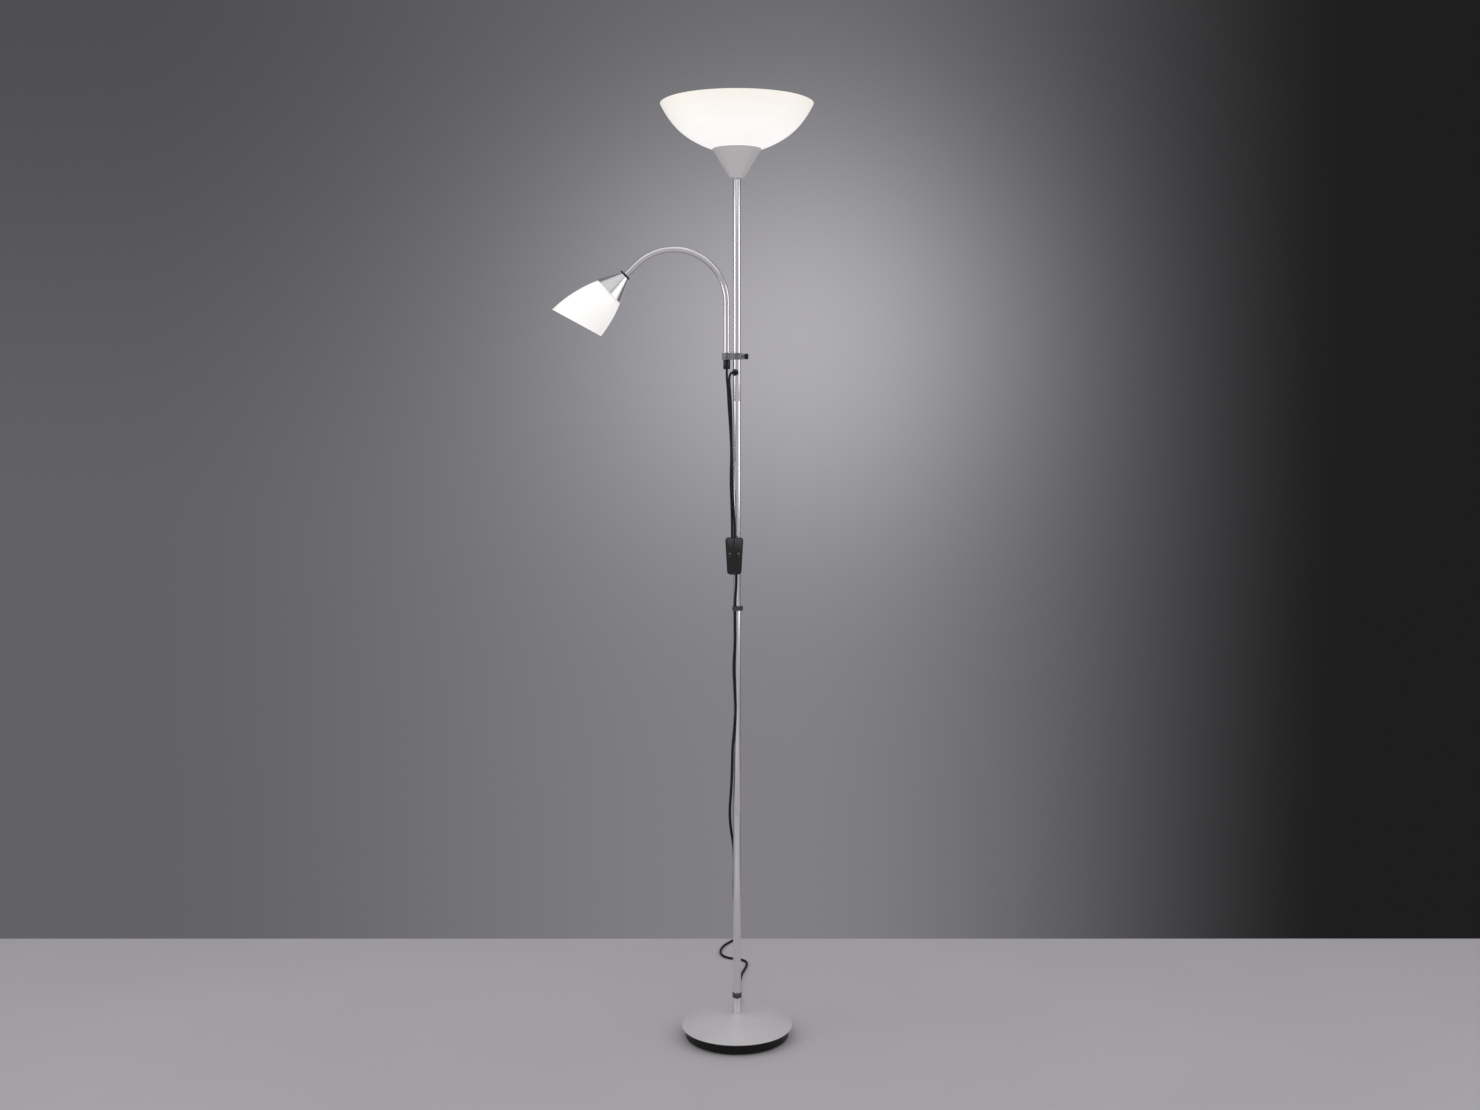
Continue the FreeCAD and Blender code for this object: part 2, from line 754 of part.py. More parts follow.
def socket_cut(hinge_deg):
    return Part.makeSphere(arm_radius + link_gap, arc_point(hinge_deg))


def arm_stem():
    """Straight lower part of the arm with its stop ring, up to the first hinge."""
    first_hinge = hinge_angles_deg[0]
    stem = cylinder(arm_radius, arm_straight_top - arm_bottom_z, vector(arm_axis_x, 0, arm_bottom_z))
    ring = cylinder(stop_ring_radius, stop_ring_height, vector(arm_axis_x, 0, clamp_top_z + part_gap))
    solid = stem.fuse([ring, arc_rod(0, first_hinge, arm_radius), ball_end(first_hinge)])
    overrun_deg = 6.0
    straight_bore = cylinder(arm_bore_radius, arm_straight_top - arm_bottom_z + cut_overrun,
                             vector(arm_axis_x, 0, arm_bottom_z - cut_overrun))
    bore = arc_rod(0, first_hinge + overrun_deg, arm_bore_radius)
    return one_solid(solid.cut(straight_bore).cut(bore).removeSplitter())


def arm_link(index):
    """Link after hinge number index: a hollow start that turns on the ball before it."""
    overrun_deg = 6.0
    start = hinge_angles_deg[index]
    last = index == arm_link_count - 1
    end = arm_sweep_deg if last else hinge_angles_deg[index + 1]
    solid = arc_rod(start, end, arm_radius)
    if last:
        direction = arc_tangent(arm_sweep_deg)
        corner = arc_point(arm_sweep_deg)
        straight = arm_end_length - collar_length
        end_rod = cylinder(arm_radius, straight, corner, direction)
        nipple_length = arm_end_length + head_floor + head_nipple_reach
        end_nipple = cylinder(nipple_radius, nipple_length, corner, direction)
        solid = solid.fuse([end_rod, end_nipple])
        bore = arc_rod(start, end, arm_bore_radius)
        end_bore = cylinder(arm_bore_radius, arm_end_length * 2, corner, direction)
        solid = solid.cut(socket_cut(start)).cut(bore).cut(end_bore)
    else:
        solid = solid.fuse(ball_end(end))
        bore = arc_rod(start, end + overrun_deg, arm_bore_radius)
        solid = solid.cut(socket_cut(start)).cut(bore)
    return one_solid(solid.removeSplitter())


def arm_relief():
    """Strain relief screwed into the arm's lower end, its lower edge chamfered."""
    top = arm_bottom_z
    bottom = top - relief_length
    spigot_radius = arm_bore_radius - fit_clearance
    outline = [
        (0, bottom),
        (relief_tip_radius, bottom),
        (relief_radius, bottom + relief_taper_length),
        (relief_radius, top),
        (spigot_radius, top),
        (spigot_radius, top + relief_spigot_length),
        (0, top + relief_spigot_length),
    ]
    relief = turned(outline)
    relief.translate(vector(arm_axis_x, 0, 0))
    return relief


# ---------------------------------------------------------------- clamp
def clamp_body():
    """Block with a ring round the pole, a ring round the arm and a boss for the screw."""
    pole_place = vector(0, 0, clamp_bottom_z)
    arm_place = vector(arm_axis_x, 0, clamp_bottom_z)
    arm_ring = cylinder(clamp_arm_ring_radius, clamp_height, arm_place)
    pole_ring = cylinder(clamp_pole_ring_radius, clamp_height, pole_place)
    bridge = centred_box(-arm_axis_x, clamp_bridge_width, clamp_height, vector(arm_axis_x / 2, 0, clamp_z))
    boss = cylinder(clamp_boss_radius, clamp_boss_reach, vector(0, 0, clamp_z), AXIS_X)
    body = arm_ring.fuse([pole_ring, bridge, boss])
    bore_length = clamp_height + 2 * cut_overrun
    pole_bore = cylinder(pole_radius + running_clearance, bore_length, pole_place - AXIS_Z * cut_overrun)
    arm_bore = cylinder(arm_radius + running_clearance, bore_length, arm_place - AXIS_Z * cut_overrun)
    screw_bore = cylinder(screw_shank_radius + running_clearance, clamp_boss_reach + cut_overrun,
                          vector(0, 0, clamp_z), AXIS_X)
    return one_solid(body.cut([pole_bore, arm_bore, screw_bore]).removeSplitter())


def clamp_screw():
    """Thumbscrew whose tip presses on the pole."""
    tip_x = pole_radius + part_gap
    head_x = clamp_boss_reach + part_gap
    shank = cylinder(screw_shank_radius, head_x - tip_x, vector(tip_x, 0, clamp_z), AXIS_X)
    head = cylinder(screw_head_radius, screw_head_length, vector(head_x, 0, clamp_z), AXIS_X)
    wing_x = head_x + screw_head_length + screw_wing_length / 2
    wing = centred_box(screw_wing_length, screw_wing_thickness, screw_head_radius * 2,
                       vector(wing_x, 0, clamp_z))
    corners = [edge for edge in wing.Edges if edge.BoundBox.XMin > wing_x and edge.BoundBox.YLength > 1]
    wing = wing.makeFillet(screw_wing_length / 2, corners)
    return one_solid(shank.fuse([head, wing]).removeSplitter())


# ---------------------------------------------------------------- reading light
def in_head(shape):
    """Moves a shape built up the Z axis into place at the arm's end."""
    moved = shape.copy()
    moved.rotate(ORIGIN, AXIS_Y, -arm_sweep_deg)
    moved.translate(arc_point(arm_sweep_deg) + arc_tangent(arm_sweep_deg) * arm_end_length)
    return moved


head_socket_start = head_floor + socket_gap
head_cap_start = head_socket_start + head_cavity_floor + bulb_cap_gap
set_screw_tip = FreeCAD.Vector(nipple_radius + thread_clearance + set_screw_gap, 0, -collar_length / 2)
set_screw_length = collar_radius + set_screw_reach - set_screw_tip.x


def head_collar():
    """Black ring between the arm's end and the cone, bored for its screw."""
    ring = tube(collar_radius, nipple_radius + thread_clearance, collar_length, vector(0, 0, -collar_length))
    screw_hole = cylinder(set_screw_radius, collar_radius, vector(0, 0, set_screw_tip.z), AXIS_X)
    return in_head(ring.cut(screw_hole))


def head_screw():
    """Small black screw in the collar's upper side."""
    return in_head(cylinder(set_screw_radius, set_screw_length, set_screw_tip, AXIS_X))


def head_cone():
    return in_head(open_cone(head_foot_radius, head_rim_radius, head_height, head_sheet, head_floor,
                             nipple_radius + thread_clearance))


def head_lampholder():
    flange_height = head_height - head_socket_start
    body = lampholder(head_socket_radius, head_socket_length, head_hub_radius, head_flange_radius,
                      flange_height, cavity_radius(head_cap_radius), head_cavity_floor)
    return in_head(lifted(body, head_socket_start))


def head_screw_shell():
    return in_head(screw_shell(head_cap_radius, head_shell_length, head_socket_start + head_cavity_floor))


def head_bulb():
    shape = bulb(head_cap_radius, head_cap_length, head_bulb_radius, head_bulb_length)
    return in_head(lifted(shape, head_cap_start))


def head_ring():
    """Ring screwed on the lampholder that holds the reading shade."""
    base = vector(0, 0, head_height + shade_wall)
    return in_head(tube(head_flange_radius, head_socket_radius, head_ring_height, base))


def head_shade():
    """Opal reading shade, its mouth cut aslant so that the upper side is longer."""
    outer_points = [vector(shade_back_radius, 0, head_height)]
    outer_points += [vector(radius, 0, head_height + along) for radius, along in shade_outline]
    floor_outline = [
        vector(shade_back_radius - shade_wall, 0, head_height + shade_wall),
        vector(shade_hole_radius, 0, head_height + shade_wall),
        vector(shade_hole_radius, 0, head_height),
    ]
    shade = shell_of_curve(outer_points, shade_wall, floor_outline)
    mouth_radius = shade_outline[-1][0]
    long_side = vector(mouth_radius, 0, head_height + shade_long_side)
    short_side = vector(-mouth_radius, 0, head_height + shade_short_side)
    slant = long_side - short_side
    reach = slant.Length
    margin = slant * 0.2
    low = short_side - margin
    high = long_side + margin
    cutter_points = [
        vector(low.x, -reach, low.z),
        vector(high.x, -reach, high.z),
        vector(high.x, -reach, high.z + reach),
        vector(low.x, -reach, high.z + reach),
    ]
    cutter = Part.Face(Part.makePolygon(cutter_points + [cutter_points[0]])).extrude(AXIS_Y * reach * 2)
    return in_head(one_solid(shade.cut(cutter)))


# ---------------------------------------------------------------- cords
def fillet_path(points):
    """Edges of straight runs joined by tangent arcs, and the arcs' radii."""
    edges = []
    radii = []
    run_start = points[0]
    for before, corner, after in zip(points, points[1:], points[2:]):
        inward = (corner - before).normalize()
        outward = (after - corner).normalize()
        turn = inward.getAngle(outward)
        shorter = min((corner - before).Length, (after - corner).Length)
        trim = 0.45 * shorter
        radius = trim / math.tan(turn / 2)
        arc_start = corner - inward * trim
        arc_end = corner + outward * trim
        bisector = (outward - inward).normalize()
        to_middle = radius / math.cos(turn / 2) - radius
        edges.append(Part.LineSegment(run_start, arc_start).toShape())
        edges.append(Part.Arc(arc_start, corner + bisector * to_middle, arc_end).toShape())
        radii.append(radius)
        run_start = arc_end
    edges.append(Part.LineSegment(run_start, points[-1]).toShape())
    return edges, radii


def cord_tube(points, diameter, name):
    """Cord along a route; prints its length, its bend radii and how its volume compares."""
    edges, radii = fillet_path([FreeCAD.Vector(point) for point in points])
    return swept_tube(edges, diameter, name, radii)


def swept_tube(edges, diameter, name, radii):
    path = Part.Wire(edges)
    start = path.Edges[0].valueAt(path.Edges[0].FirstParameter)
    direction = path.Edges[0].tangentAt(path.Edges[0].FirstParameter)
    section = Part.Wire([Part.Circle(start, direction, diameter / 2).toShape()])
    solid = path.makePipeShell([section], True, False)
    expected = math.pi * diameter ** 2 / 4 * path.Length
    print("%s: length %.0f mm, volume ratio %.4f" % (name, path.Length, solid.Volume / expected))
    print("  bend radii:", " ".join("%.0f" % radius for radius in radii))
    return solid


# ---------------------------------------------------------------- coil, tie and plug
coil_pitch = lead_diameter + coil_gap
coil_outer_radius = coil_mean_radius + coil_pitch * coil_turns_per_layer / 2
coil_top_z = coil_start_z + coil_pitch


def coil_state(quarter):
    """Point and direction on the coil's centreline after a number of quarter turns.

    The lower layer spirals in and the upper one out again; the climb takes the middle half turn.
    """
    half = coil_turns_per_layer * 4
    radius = coil_outer_radius - coil_pitch * (half - abs(quarter - half)) / 4
    growth = coil_pitch / (2 * math.pi) * (0 if quarter == half else (-1 if quarter < half else 1))
    angle = math.pi / 2 * quarter
    outward = vector(math.cos(angle), math.sin(angle), 0)
    along = vector(-math.sin(angle), math.cos(angle), 0)
    climb = min(max((quarter - half + 1) / 2, 0), 1)
    height = coil_start_z + coil_pitch * climb
    point = vector(coil_centre[0], coil_centre[1], height) + outward * radius
    direction = along * radius + outward * growth
    if quarter == half:
        direction = direction + AXIS_Z * coil_pitch / (math.pi / 2) * coil_climb_steepness
    return point, direction.normalize()


def biarc(start, start_direction, end, end_direction):
    """Two tangent arcs between two points with given directions there."""
    span = end - start
    total = start_direction + end_direction
    a = 2 * (start_direction.dot(end_direction) - 1)
    b = -2 * span.dot(total)
    c = span.dot(span)
    reach = (-b - math.sqrt(b * b - 4 * a * c)) / (2 * a)
    first_corner = start + start_direction * reach
    second_corner = end - end_direction * reach
    joint = (first_corner + second_corner) * 0.5
    return [tangent_arc(start, first_corner, joint), tangent_arc(joint, second_corner, end)]


def tangent_arc(start, corner, end):
    """Arc from start to end whose end tangents meet at the corner."""
    inward = (corner - start).normalize()
    outward = (end - corner).normalize()
    turn = inward.getAngle(outward)
    radius = (corner - start).Length / math.tan(turn / 2)
    bisector = (outward - inward).normalize()
    return Part.Arc(start, corner + bisector * (radius / math.cos(turn / 2) - radius), end).toShape()


def coil_edges():
    quarters = coil_turns_per_layer * 8
    states = [coil_state(quarter) for quarter in range(quarters + 1)]
    first_point, first_direction = states[0]
    last_point, last_direction = states[-1]
    edges = [Part.LineSegment(first_point - first_direction * lead_diameter, first_point).toShape()]
    for (start, start_direction), (end, end_direction) in zip(states, states[1:]):
        edges += biarc(start, start_direction, end, end_direction)
    edges.append(Part.LineSegment(last_point, last_point + last_direction * lead_diameter).toShape())
    return edges


def print_coil_gap(edges):
    """Least gap between stretches of the coil that are more than a quarter turn apart."""
    samples = []
    travelled = 0.0
    for edge in edges:
        steps = 12
        for i in range(steps):
            along = edge.FirstParameter + (edge.LastParameter - edge.FirstParameter) * i / steps
            samples.append((travelled + edge.Length * i / steps, edge.valueAt(along)))
        travelled += edge.Length
    apart = coil_mean_radius * math.pi / 2
    least = min(
        (second - first).Length
        for place, first in samples
        for other_place, second in samples
        if other_place - place > apart
    )
    print("lead_coil: least gap to itself %.2f mm" % (least - lead_diameter))


def lead_coil():
    edges = coil_edges()
    print_coil_gap(edges)
    radii = [edge.Curve.Radius for edge in edges[1:-1]]
    return swept_tube(edges, lead_diameter, "lead_coil", radii)


def coil_tie():
    """Flat band round the bundle of turns."""
    inner_radius = coil_outer_radius - coil_pitch * coil_turns_per_layer
    half_lead = lead_diameter / 2 + part_gap
    low = inner_radius - half_lead
    high = coil_outer_radius + half_lead
    bottom = coil_start_z - half_lead
    top = coil_top_z + half_lead
    centre = vector((low + high) / 2, 0, (bottom + top) / 2)
    hole = centred_box(high - low, tie_width + 2 * cut_overrun, top - bottom, centre)
    band = centred_box(high - low + 2 * tie_thickness, tie_width, top - bottom + 2 * tie_thickness, centre)
    band = band.cut(hole)
    band.rotate(ORIGIN, AXIS_Z, tie_turn_deg)
    band.translate(vector(coil_centre[0], coil_centre[1], 0))
    return one_solid(band)


def at_plug(shape):
    """Moves a shape built along +X from the origin to the coil's free end."""
    point, direction = coil_state(coil_turns_per_layer * 8)
    moved = shape.copy()
    moved.rotate(ORIGIN, AXIS_Z, math.degrees(math.atan2(direction.y, direction.x)))
    moved.translate(point + direction * lead_diameter)
    return moved


def plug_body():
    """Flat two-pin plug: a tapered tail that relieves the cord and a grip with rounded sides."""
    tail = Part.makeCone(plug_tail_tip_radius, plug_tail_root_radius, plug_tail_length, ORIGIN, AXIS_X)
    grip = centred_box(plug_grip_length, plug_width, plug_thickness,
                       vector(plug_tail_length + plug_grip_length / 2, 0, 0))
    sides = [edge for edge in grip.Edges if edge.BoundBox.ZLength > plug_thickness * 0.9]
    grip = grip.makeFillet(plug_side_fillet, sides)
    return at_plug(one_solid(tail.fuse(grip).removeSplitter()))


def plug_pins():
    """The two round pins of the plug."""
    pins = []
    for side in (-1, 1):
        base = vector(plug_tail_length + plug_grip_length, side * plug_pin_spacing / 2, 0)
        pins.append(cylinder(plug_pin_radius, plug_pin_length, base, AXIS_X))
    return at_plug(Part.makeCompound(pins))


# ---------------------------------------------------------------- cable clips
def cable_clip(centre_z, lead_place, lug_angle_deg):
    """Clip round the pole with a small ring for the lead and a closing lug."""
    base_z = centre_z - clip_height / 2
    lead_centre = vector(lead_place[0], lead_place[1], base_z)
    ring = cylinder(pole_radius + clip_wall, clip_height, vector(0, 0, base_z))
    lead_bore_radius = lead_diameter / 2 + fit_clearance
    holder = cylinder(lead_bore_radius + clip_holder_wall, clip_height, lead_centre)
    lug_length = clip_lug_reach - pole_radius
    lug = centred_box(lug_length, clip_lug_width, clip_height,
                      vector(pole_radius + lug_length / 2, 0, centre_z))
    lug.rotate(ORIGIN, AXIS_Z, lug_angle_deg)
    body = ring.fuse([holder, lug])
    bore_length = clip_height + 2 * cut_overrun
    pole_bore = cylinder(pole_radius + fit_clearance, bore_length, vector(0, 0, base_z - cut_overrun))
    lead_bore = cylinder(lead_bore_radius, bore_length, lead_centre - AXIS_Z * cut_overrun)
    return one_solid(body.cut([pole_bore, lead_bore]).removeSplitter())


# ---------------------------------------------------------------- switch
def switch_blank(inset):
    """The switch's outer form with its ridged front, or the cavity when inset by the wall."""
    half_top = switch_top_width / 2 - inset
    half_bottom = switch_bottom_width / 2 - inset
    bottom_z = switch_bottom_z + inset
    top_z = switch_top_z - inset
    back_y = switch_back_y - inset
    corners = [
        vector(switch_centre_x - half_bottom, back_y, bottom_z),
        vector(switch_centre_x + half_bottom, back_y, bottom_z),
        vector(switch_centre_x + half_top, back_y, top_z),
        vector(switch_centre_x - half_top, back_y, top_z),
    ]
    face = Part.Face(Part.makePolygon(corners + [corners[0]]))
    block = face.extrude(AXIS_Y * -(switch_depth - 2 * inset))
    long_edges = [edge for edge in block.Edges if edge.BoundBox.YLength > switch_depth * 0.5]
    block = block.makeFillet(switch_corner_radius - inset, long_edges)
    ridge_y = switch_front_y + inset / math.cos(math.radians(switch_facet_deg))
    size = switch_height * 2
    for side in (-1, 1):
        front = Part.makeBox(size, size, size, vector(switch_centre_x - size / 2, ridge_y - size,
                                                      switch_bottom_z - size / 4))
        front.rotate(vector(switch_centre_x, ridge_y, 0), AXIS_Z, side * switch_facet_deg)
        block = block.cut(front)
    if inset > 0:
        return block
    ridge = [edge for edge in block.Edges if is_ridge(edge)]
    block = block.makeFillet(switch_ridge_radius, ridge)
    rims = [edge for edge in block.Edges if is_rim(edge)]
    return block.makeFillet(switch_edge_fillet, rims)


def is_ridge(edge):
    """True for the upright edge down the middle of the switch's front."""
    return edge.BoundBox.YMax < switch_front_y + part_gap and edge.BoundBox.ZLength > switch_height / 2


def is_rim(edge):
    """True for an edge of the switch's back face or of its two front facets."""
    if edge.BoundBox.YMin > switch_back_y - part_gap:
        return True
    faces_front = edge.BoundBox.YMax < switch_mid_y
    runs_up = edge.BoundBox.ZLength > switch_height / 2 and edge.BoundBox.XLength < switch_ridge_lean
    return faces_front and not runs_up


def turn_to_facet(shape, side):
    """Turns what was made on a flat front round the ridge's line, onto one of the two facets."""
    shape.rotate(vector(switch_centre_x, switch_front_y, 0), AXIS_Z, side * switch_facet_deg)
    return shape


def rocker_centre(side):
    """Centre of a rocker's pin before its facet is turned."""
    return vector(switch_centre_x + side * rocker_from_ridge, rocker_pivot_y, rocker_z)


def oval_prism(width, height, front_y, back_y, centre):
    """Upright oval with round ends, running along Y between two depths."""
    radius = width / 2
    straight = height - width
    length = back_y - front_y
    low = cylinder(radius, length, vector(centre.x, front_y, centre.z - straight / 2), AXIS_Y)
    high = cylinder(radius, length, vector(centre.x, front_y, centre.z + straight / 2), AXIS_Y)
    middle = centred_box(width, length, straight, vector(centre.x, (front_y + back_y) / 2, centre.z))
    return low.fuse([middle, high]).removeSplitter()


def cord_entries():
    """Bores where the two upper cords and the lead enter the switch."""
    overrun = 4.0
    reach = switch_wall + overrun
    cord_bore = cord_diameter / 2 + fit_clearance
    lead_bore = lead_diameter / 2 + fit_clearance
    arm_entry = vector(arm_cord_route[-1][0], switch_mid_y, switch_top_z - switch_wall - overrun / 2)
    pole_entry = vector(pole_cord_route[-1][0], switch_mid_y, switch_top_z - switch_wall - overrun / 2)
    lead_entry = vector(mains_lead_route[0][0], switch_mid_y, switch_bottom_z - overrun / 2)
    return [
        cylinder(cord_bore, reach, arm_entry),
        cylinder(cord_bore, reach, pole_entry),
        cylinder(lead_bore, reach, lead_entry),
    ]


def screw_places():
    low_z = switch_bottom_z + switch_screw_inset
    high_z = switch_top_z - switch_screw_inset
    return [vector(switch_centre_x + side * switch_screw_offset, 0, place_z)
            for place_z in (low_z, high_z) for side in (-1, 1)]


def screw_hole_y():
    """Depth at which the screw holes end, clear of the front facets' wall."""
    slope = math.radians(switch_facet_deg)
    outer = (switch_screw_offset + switch_screw_radius) * math.tan(slope)
    return switch_front_y + outer + switch_wall / math.cos(slope)


def half_space(front):
    """Block that holds the front or the back half of the switch."""
    size = switch_height * 2
    depth = switch_depth
    offset = -depth if front else 0
    return Part.makeBox(size, depth, size, vector(switch_centre_x - size / 2, switch_mid_y + offset,
                                                  switch_bottom_z - size / 4))


def screw_pillars(front):
    """Pillars in which the screws that close the switch sit."""
    pillar_radius = switch_screw_radius + switch_pillar_wall
    inner_front_y = switch_front_y + switch_wall / 2
    inner_back_y = switch_back_y - switch_wall / 2
    pillars = []
    for place in screw_places():
        start_y = inner_front_y if front else switch_mid_y
        end_y = switch_mid_y if front else inner_back_y
        pillar = cylinder(pillar_radius, end_y - start_y, vector(place.x, start_y, place.z), AXIS_Y)
        pillars.append(pillar.common(switch_blank(0)))
    return pillars


def screw_bores(radius):
    bores = []
    start_y = screw_hole_y()
    length = switch_back_y - start_y + cut_overrun
    for place in screw_places():
        bores.append(cylinder(radius, length, vector(place.x, start_y, place.z), AXIS_Y))
    return bores


def switch_half(front):
    shell = switch_blank(0).cut(switch_blank(switch_wall)).common(half_space(front))
    return shell.fuse(screw_pillars(front)).cut(cord_entries())


def switch_front():
    """Front half, each of its facets with an oval window and the bearing block of a rocker."""
    shell = switch_half(True)
    window_width = rocker_width + 2 * rocker_side_clearance
    window_height = rocker_height + 2 * rocker_end_clearance
    block_back_y = rocker_pivot_y + rocker_pin_radius + bearing_wall
    block_front_y = switch_front_y + switch_wall / 2
    block_width = rocker_width + 2 * (rocker_pin_length + bearing_wall)
    pin_reach = rocker_width / 2 + rocker_pin_length + rocker_pin_end_gap
    inside = switch_blank(switch_wall / 2).common(half_space(True))
    cuts = screw_bores(switch_screw_radius)
    for side in (-1, 1):
        centre = rocker_centre(side)
        block = centred_box(block_width, block_back_y - block_front_y, bearing_height,
                            vector(centre.x, (block_front_y + block_back_y) / 2, rocker_z))
        shell = shell.fuse(turn_to_facet(block, side).common(inside))
        window = oval_prism(window_width, window_height, switch_front_y - cut_overrun,
                            block_back_y + cut_overrun, centre)
        bearing = cylinder(rocker_pin_radius + running_clearance, pin_reach * 2,
                           centre - AXIS_X * pin_reach, AXIS_X)
        cuts.append(turn_to_facet(window, side))
        cuts.append(turn_to_facet(bearing, side))
    return one_solid(shell.cut(cuts).removeSplitter())


def switch_back():
    """Back half with the holes for the closing screws."""
    return one_solid(switch_half(False).cut(screw_bores(switch_screw_radius)).removeSplitter())


def switch_screws():
    """Screws that hold the switch's halves together, driven from the back."""
    screws = []
    start_y = screw_hole_y() + switch_screw_tip_gap
    length = switch_back_y - start_y
    for place in screw_places():
        screws.append(cylinder(switch_screw_radius, length, vector(place.x, start_y, place.z), AXIS_Y))
    return Part.makeCompound(screws)


def rocker(side):
    """Oval rocker with a curved face, pinned across its middle in its facet and stored switched on."""
    centre = rocker_centre(side)
    front_y = switch_front_y - rocker_proud
    body = oval_prism(rocker_width, rocker_height, front_y, front_y + rocker_depth, centre)
    crown = cylinder(rocker_crown_radius, rocker_width * 2,
                     vector(centre.x - rocker_width, front_y + rocker_crown_radius, centre.z), AXIS_X)
    body = body.common(crown)
    pin_reach = rocker_width / 2 + rocker_pin_length
    pin = cylinder(rocker_pin_radius, pin_reach * 2, centre - AXIS_X * pin_reach, AXIS_X)
    button = one_solid(body.fuse(pin).removeSplitter())
    button.rotate(centre, AXIS_X, rocker_rest_tilt_deg)
    return turn_to_facet(button, side)


def switch_terminals():
    """Brass terminal blocks in the back half, one for each wire pair, on the rear wall."""
    blocks = []
    centre_y = switch_back_y - switch_wall - terminal_depth / 2
    for place in (-1, 0, 1):
        centre = vector(switch_centre_x + place * terminal_spacing, centre_y, rocker_z)
        blocks.append(centred_box(terminal_width, terminal_depth, terminal_height, centre))
    return Part.makeCompound(blocks)


# ---------------------------------------------------------------- write every node
def main():
    os.makedirs("parts", exist_ok=True)
    export("base_feet", base_feet())
    export("base_tray", base_tray())
    export("base_weight", base_weight())
    export("base_cover", base_cover())
    export("base_nut_cap", base_nut_cap())
    export("base_washer", base_washer())
    export("base_nut", base_nut())
    export("base_stud", base_stud())
    export("pole_foot_insert", pole_foot_insert())
    for i in range(pole_sections):
        export("pole_tube_%d" % (i + 1), pole_tube(i))
    export("pole_couplers", pole_couplers())
    export("pole_top_insert", pole_top_insert())
    export("pole_grommet", pole_grommet())
    export("holder_cone", holder_cone())
    export("uplight_nipple", uplight_nipple())
    export("uplight_locknut", uplight_locknut())
    export("uplight_lampholder", uplight_lampholder())
    export("uplight_screw_shell", uplight_screw_shell())
    export("uplight_bulb", uplight_bulb())
    export("uplight_shade", uplight_shade())
    export("uplight_ring", uplight_ring())
    export("inner_wire", inner_wire())
    export("clamp_body", clamp_body())
    export("clamp_screw", clamp_screw())
    export("arm_relief", arm_relief())
    export("arm_stem", arm_stem())
    for i in range(arm_link_count):
        export("arm_link_%d" % (i + 1), arm_link(i))
    export("head_collar", head_collar())
    export("head_screw", head_screw())
    export("head_cone", head_cone())
    export("head_lampholder", head_lampholder())
    export("head_screw_shell", head_screw_shell())
    export("head_bulb", head_bulb())
    export("head_ring", head_ring())
    export("head_shade", head_shade())
    export("switch_front", switch_front())
    export("switch_back", switch_back())
    export("switch_screws", switch_screws())
    export("switch_terminals", switch_terminals())
    export("rocker_left", rocker(-1))
    export("rocker_right", rocker(1))
    export("cable_clip_upper", cable_clip(upper_clip_z, upper_clip_lead, 0))
    export("cable_clip_lower", cable_clip(lower_clip_z, lower_clip_lead, 270))
    export("arm_cord", cord_tube(arm_cord_route, cord_diameter, "arm_cord"))
    export("pole_cord", cord_tube(pole_cord_route, cord_diameter, "pole_cord"))
    export("mains_lead", cord_tube(mains_lead_route, lead_diameter, "mains_lead"))
    export("lead_coil", lead_coil())
    export("coil_tie", coil_tie())
    export("plug_body", plug_body())
    export("plug_pins", plug_pins())


main()
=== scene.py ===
"""Looks of the floor lamp: cords, turned and bent metal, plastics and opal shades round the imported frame.

Metres, +Z up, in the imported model's own frame. The switch hangs on the -Y side, the arm points to -X.
Outlines, places and sizes that are multiplied by MM are in millimetres. Angles are in degrees.
"""
import json
import math

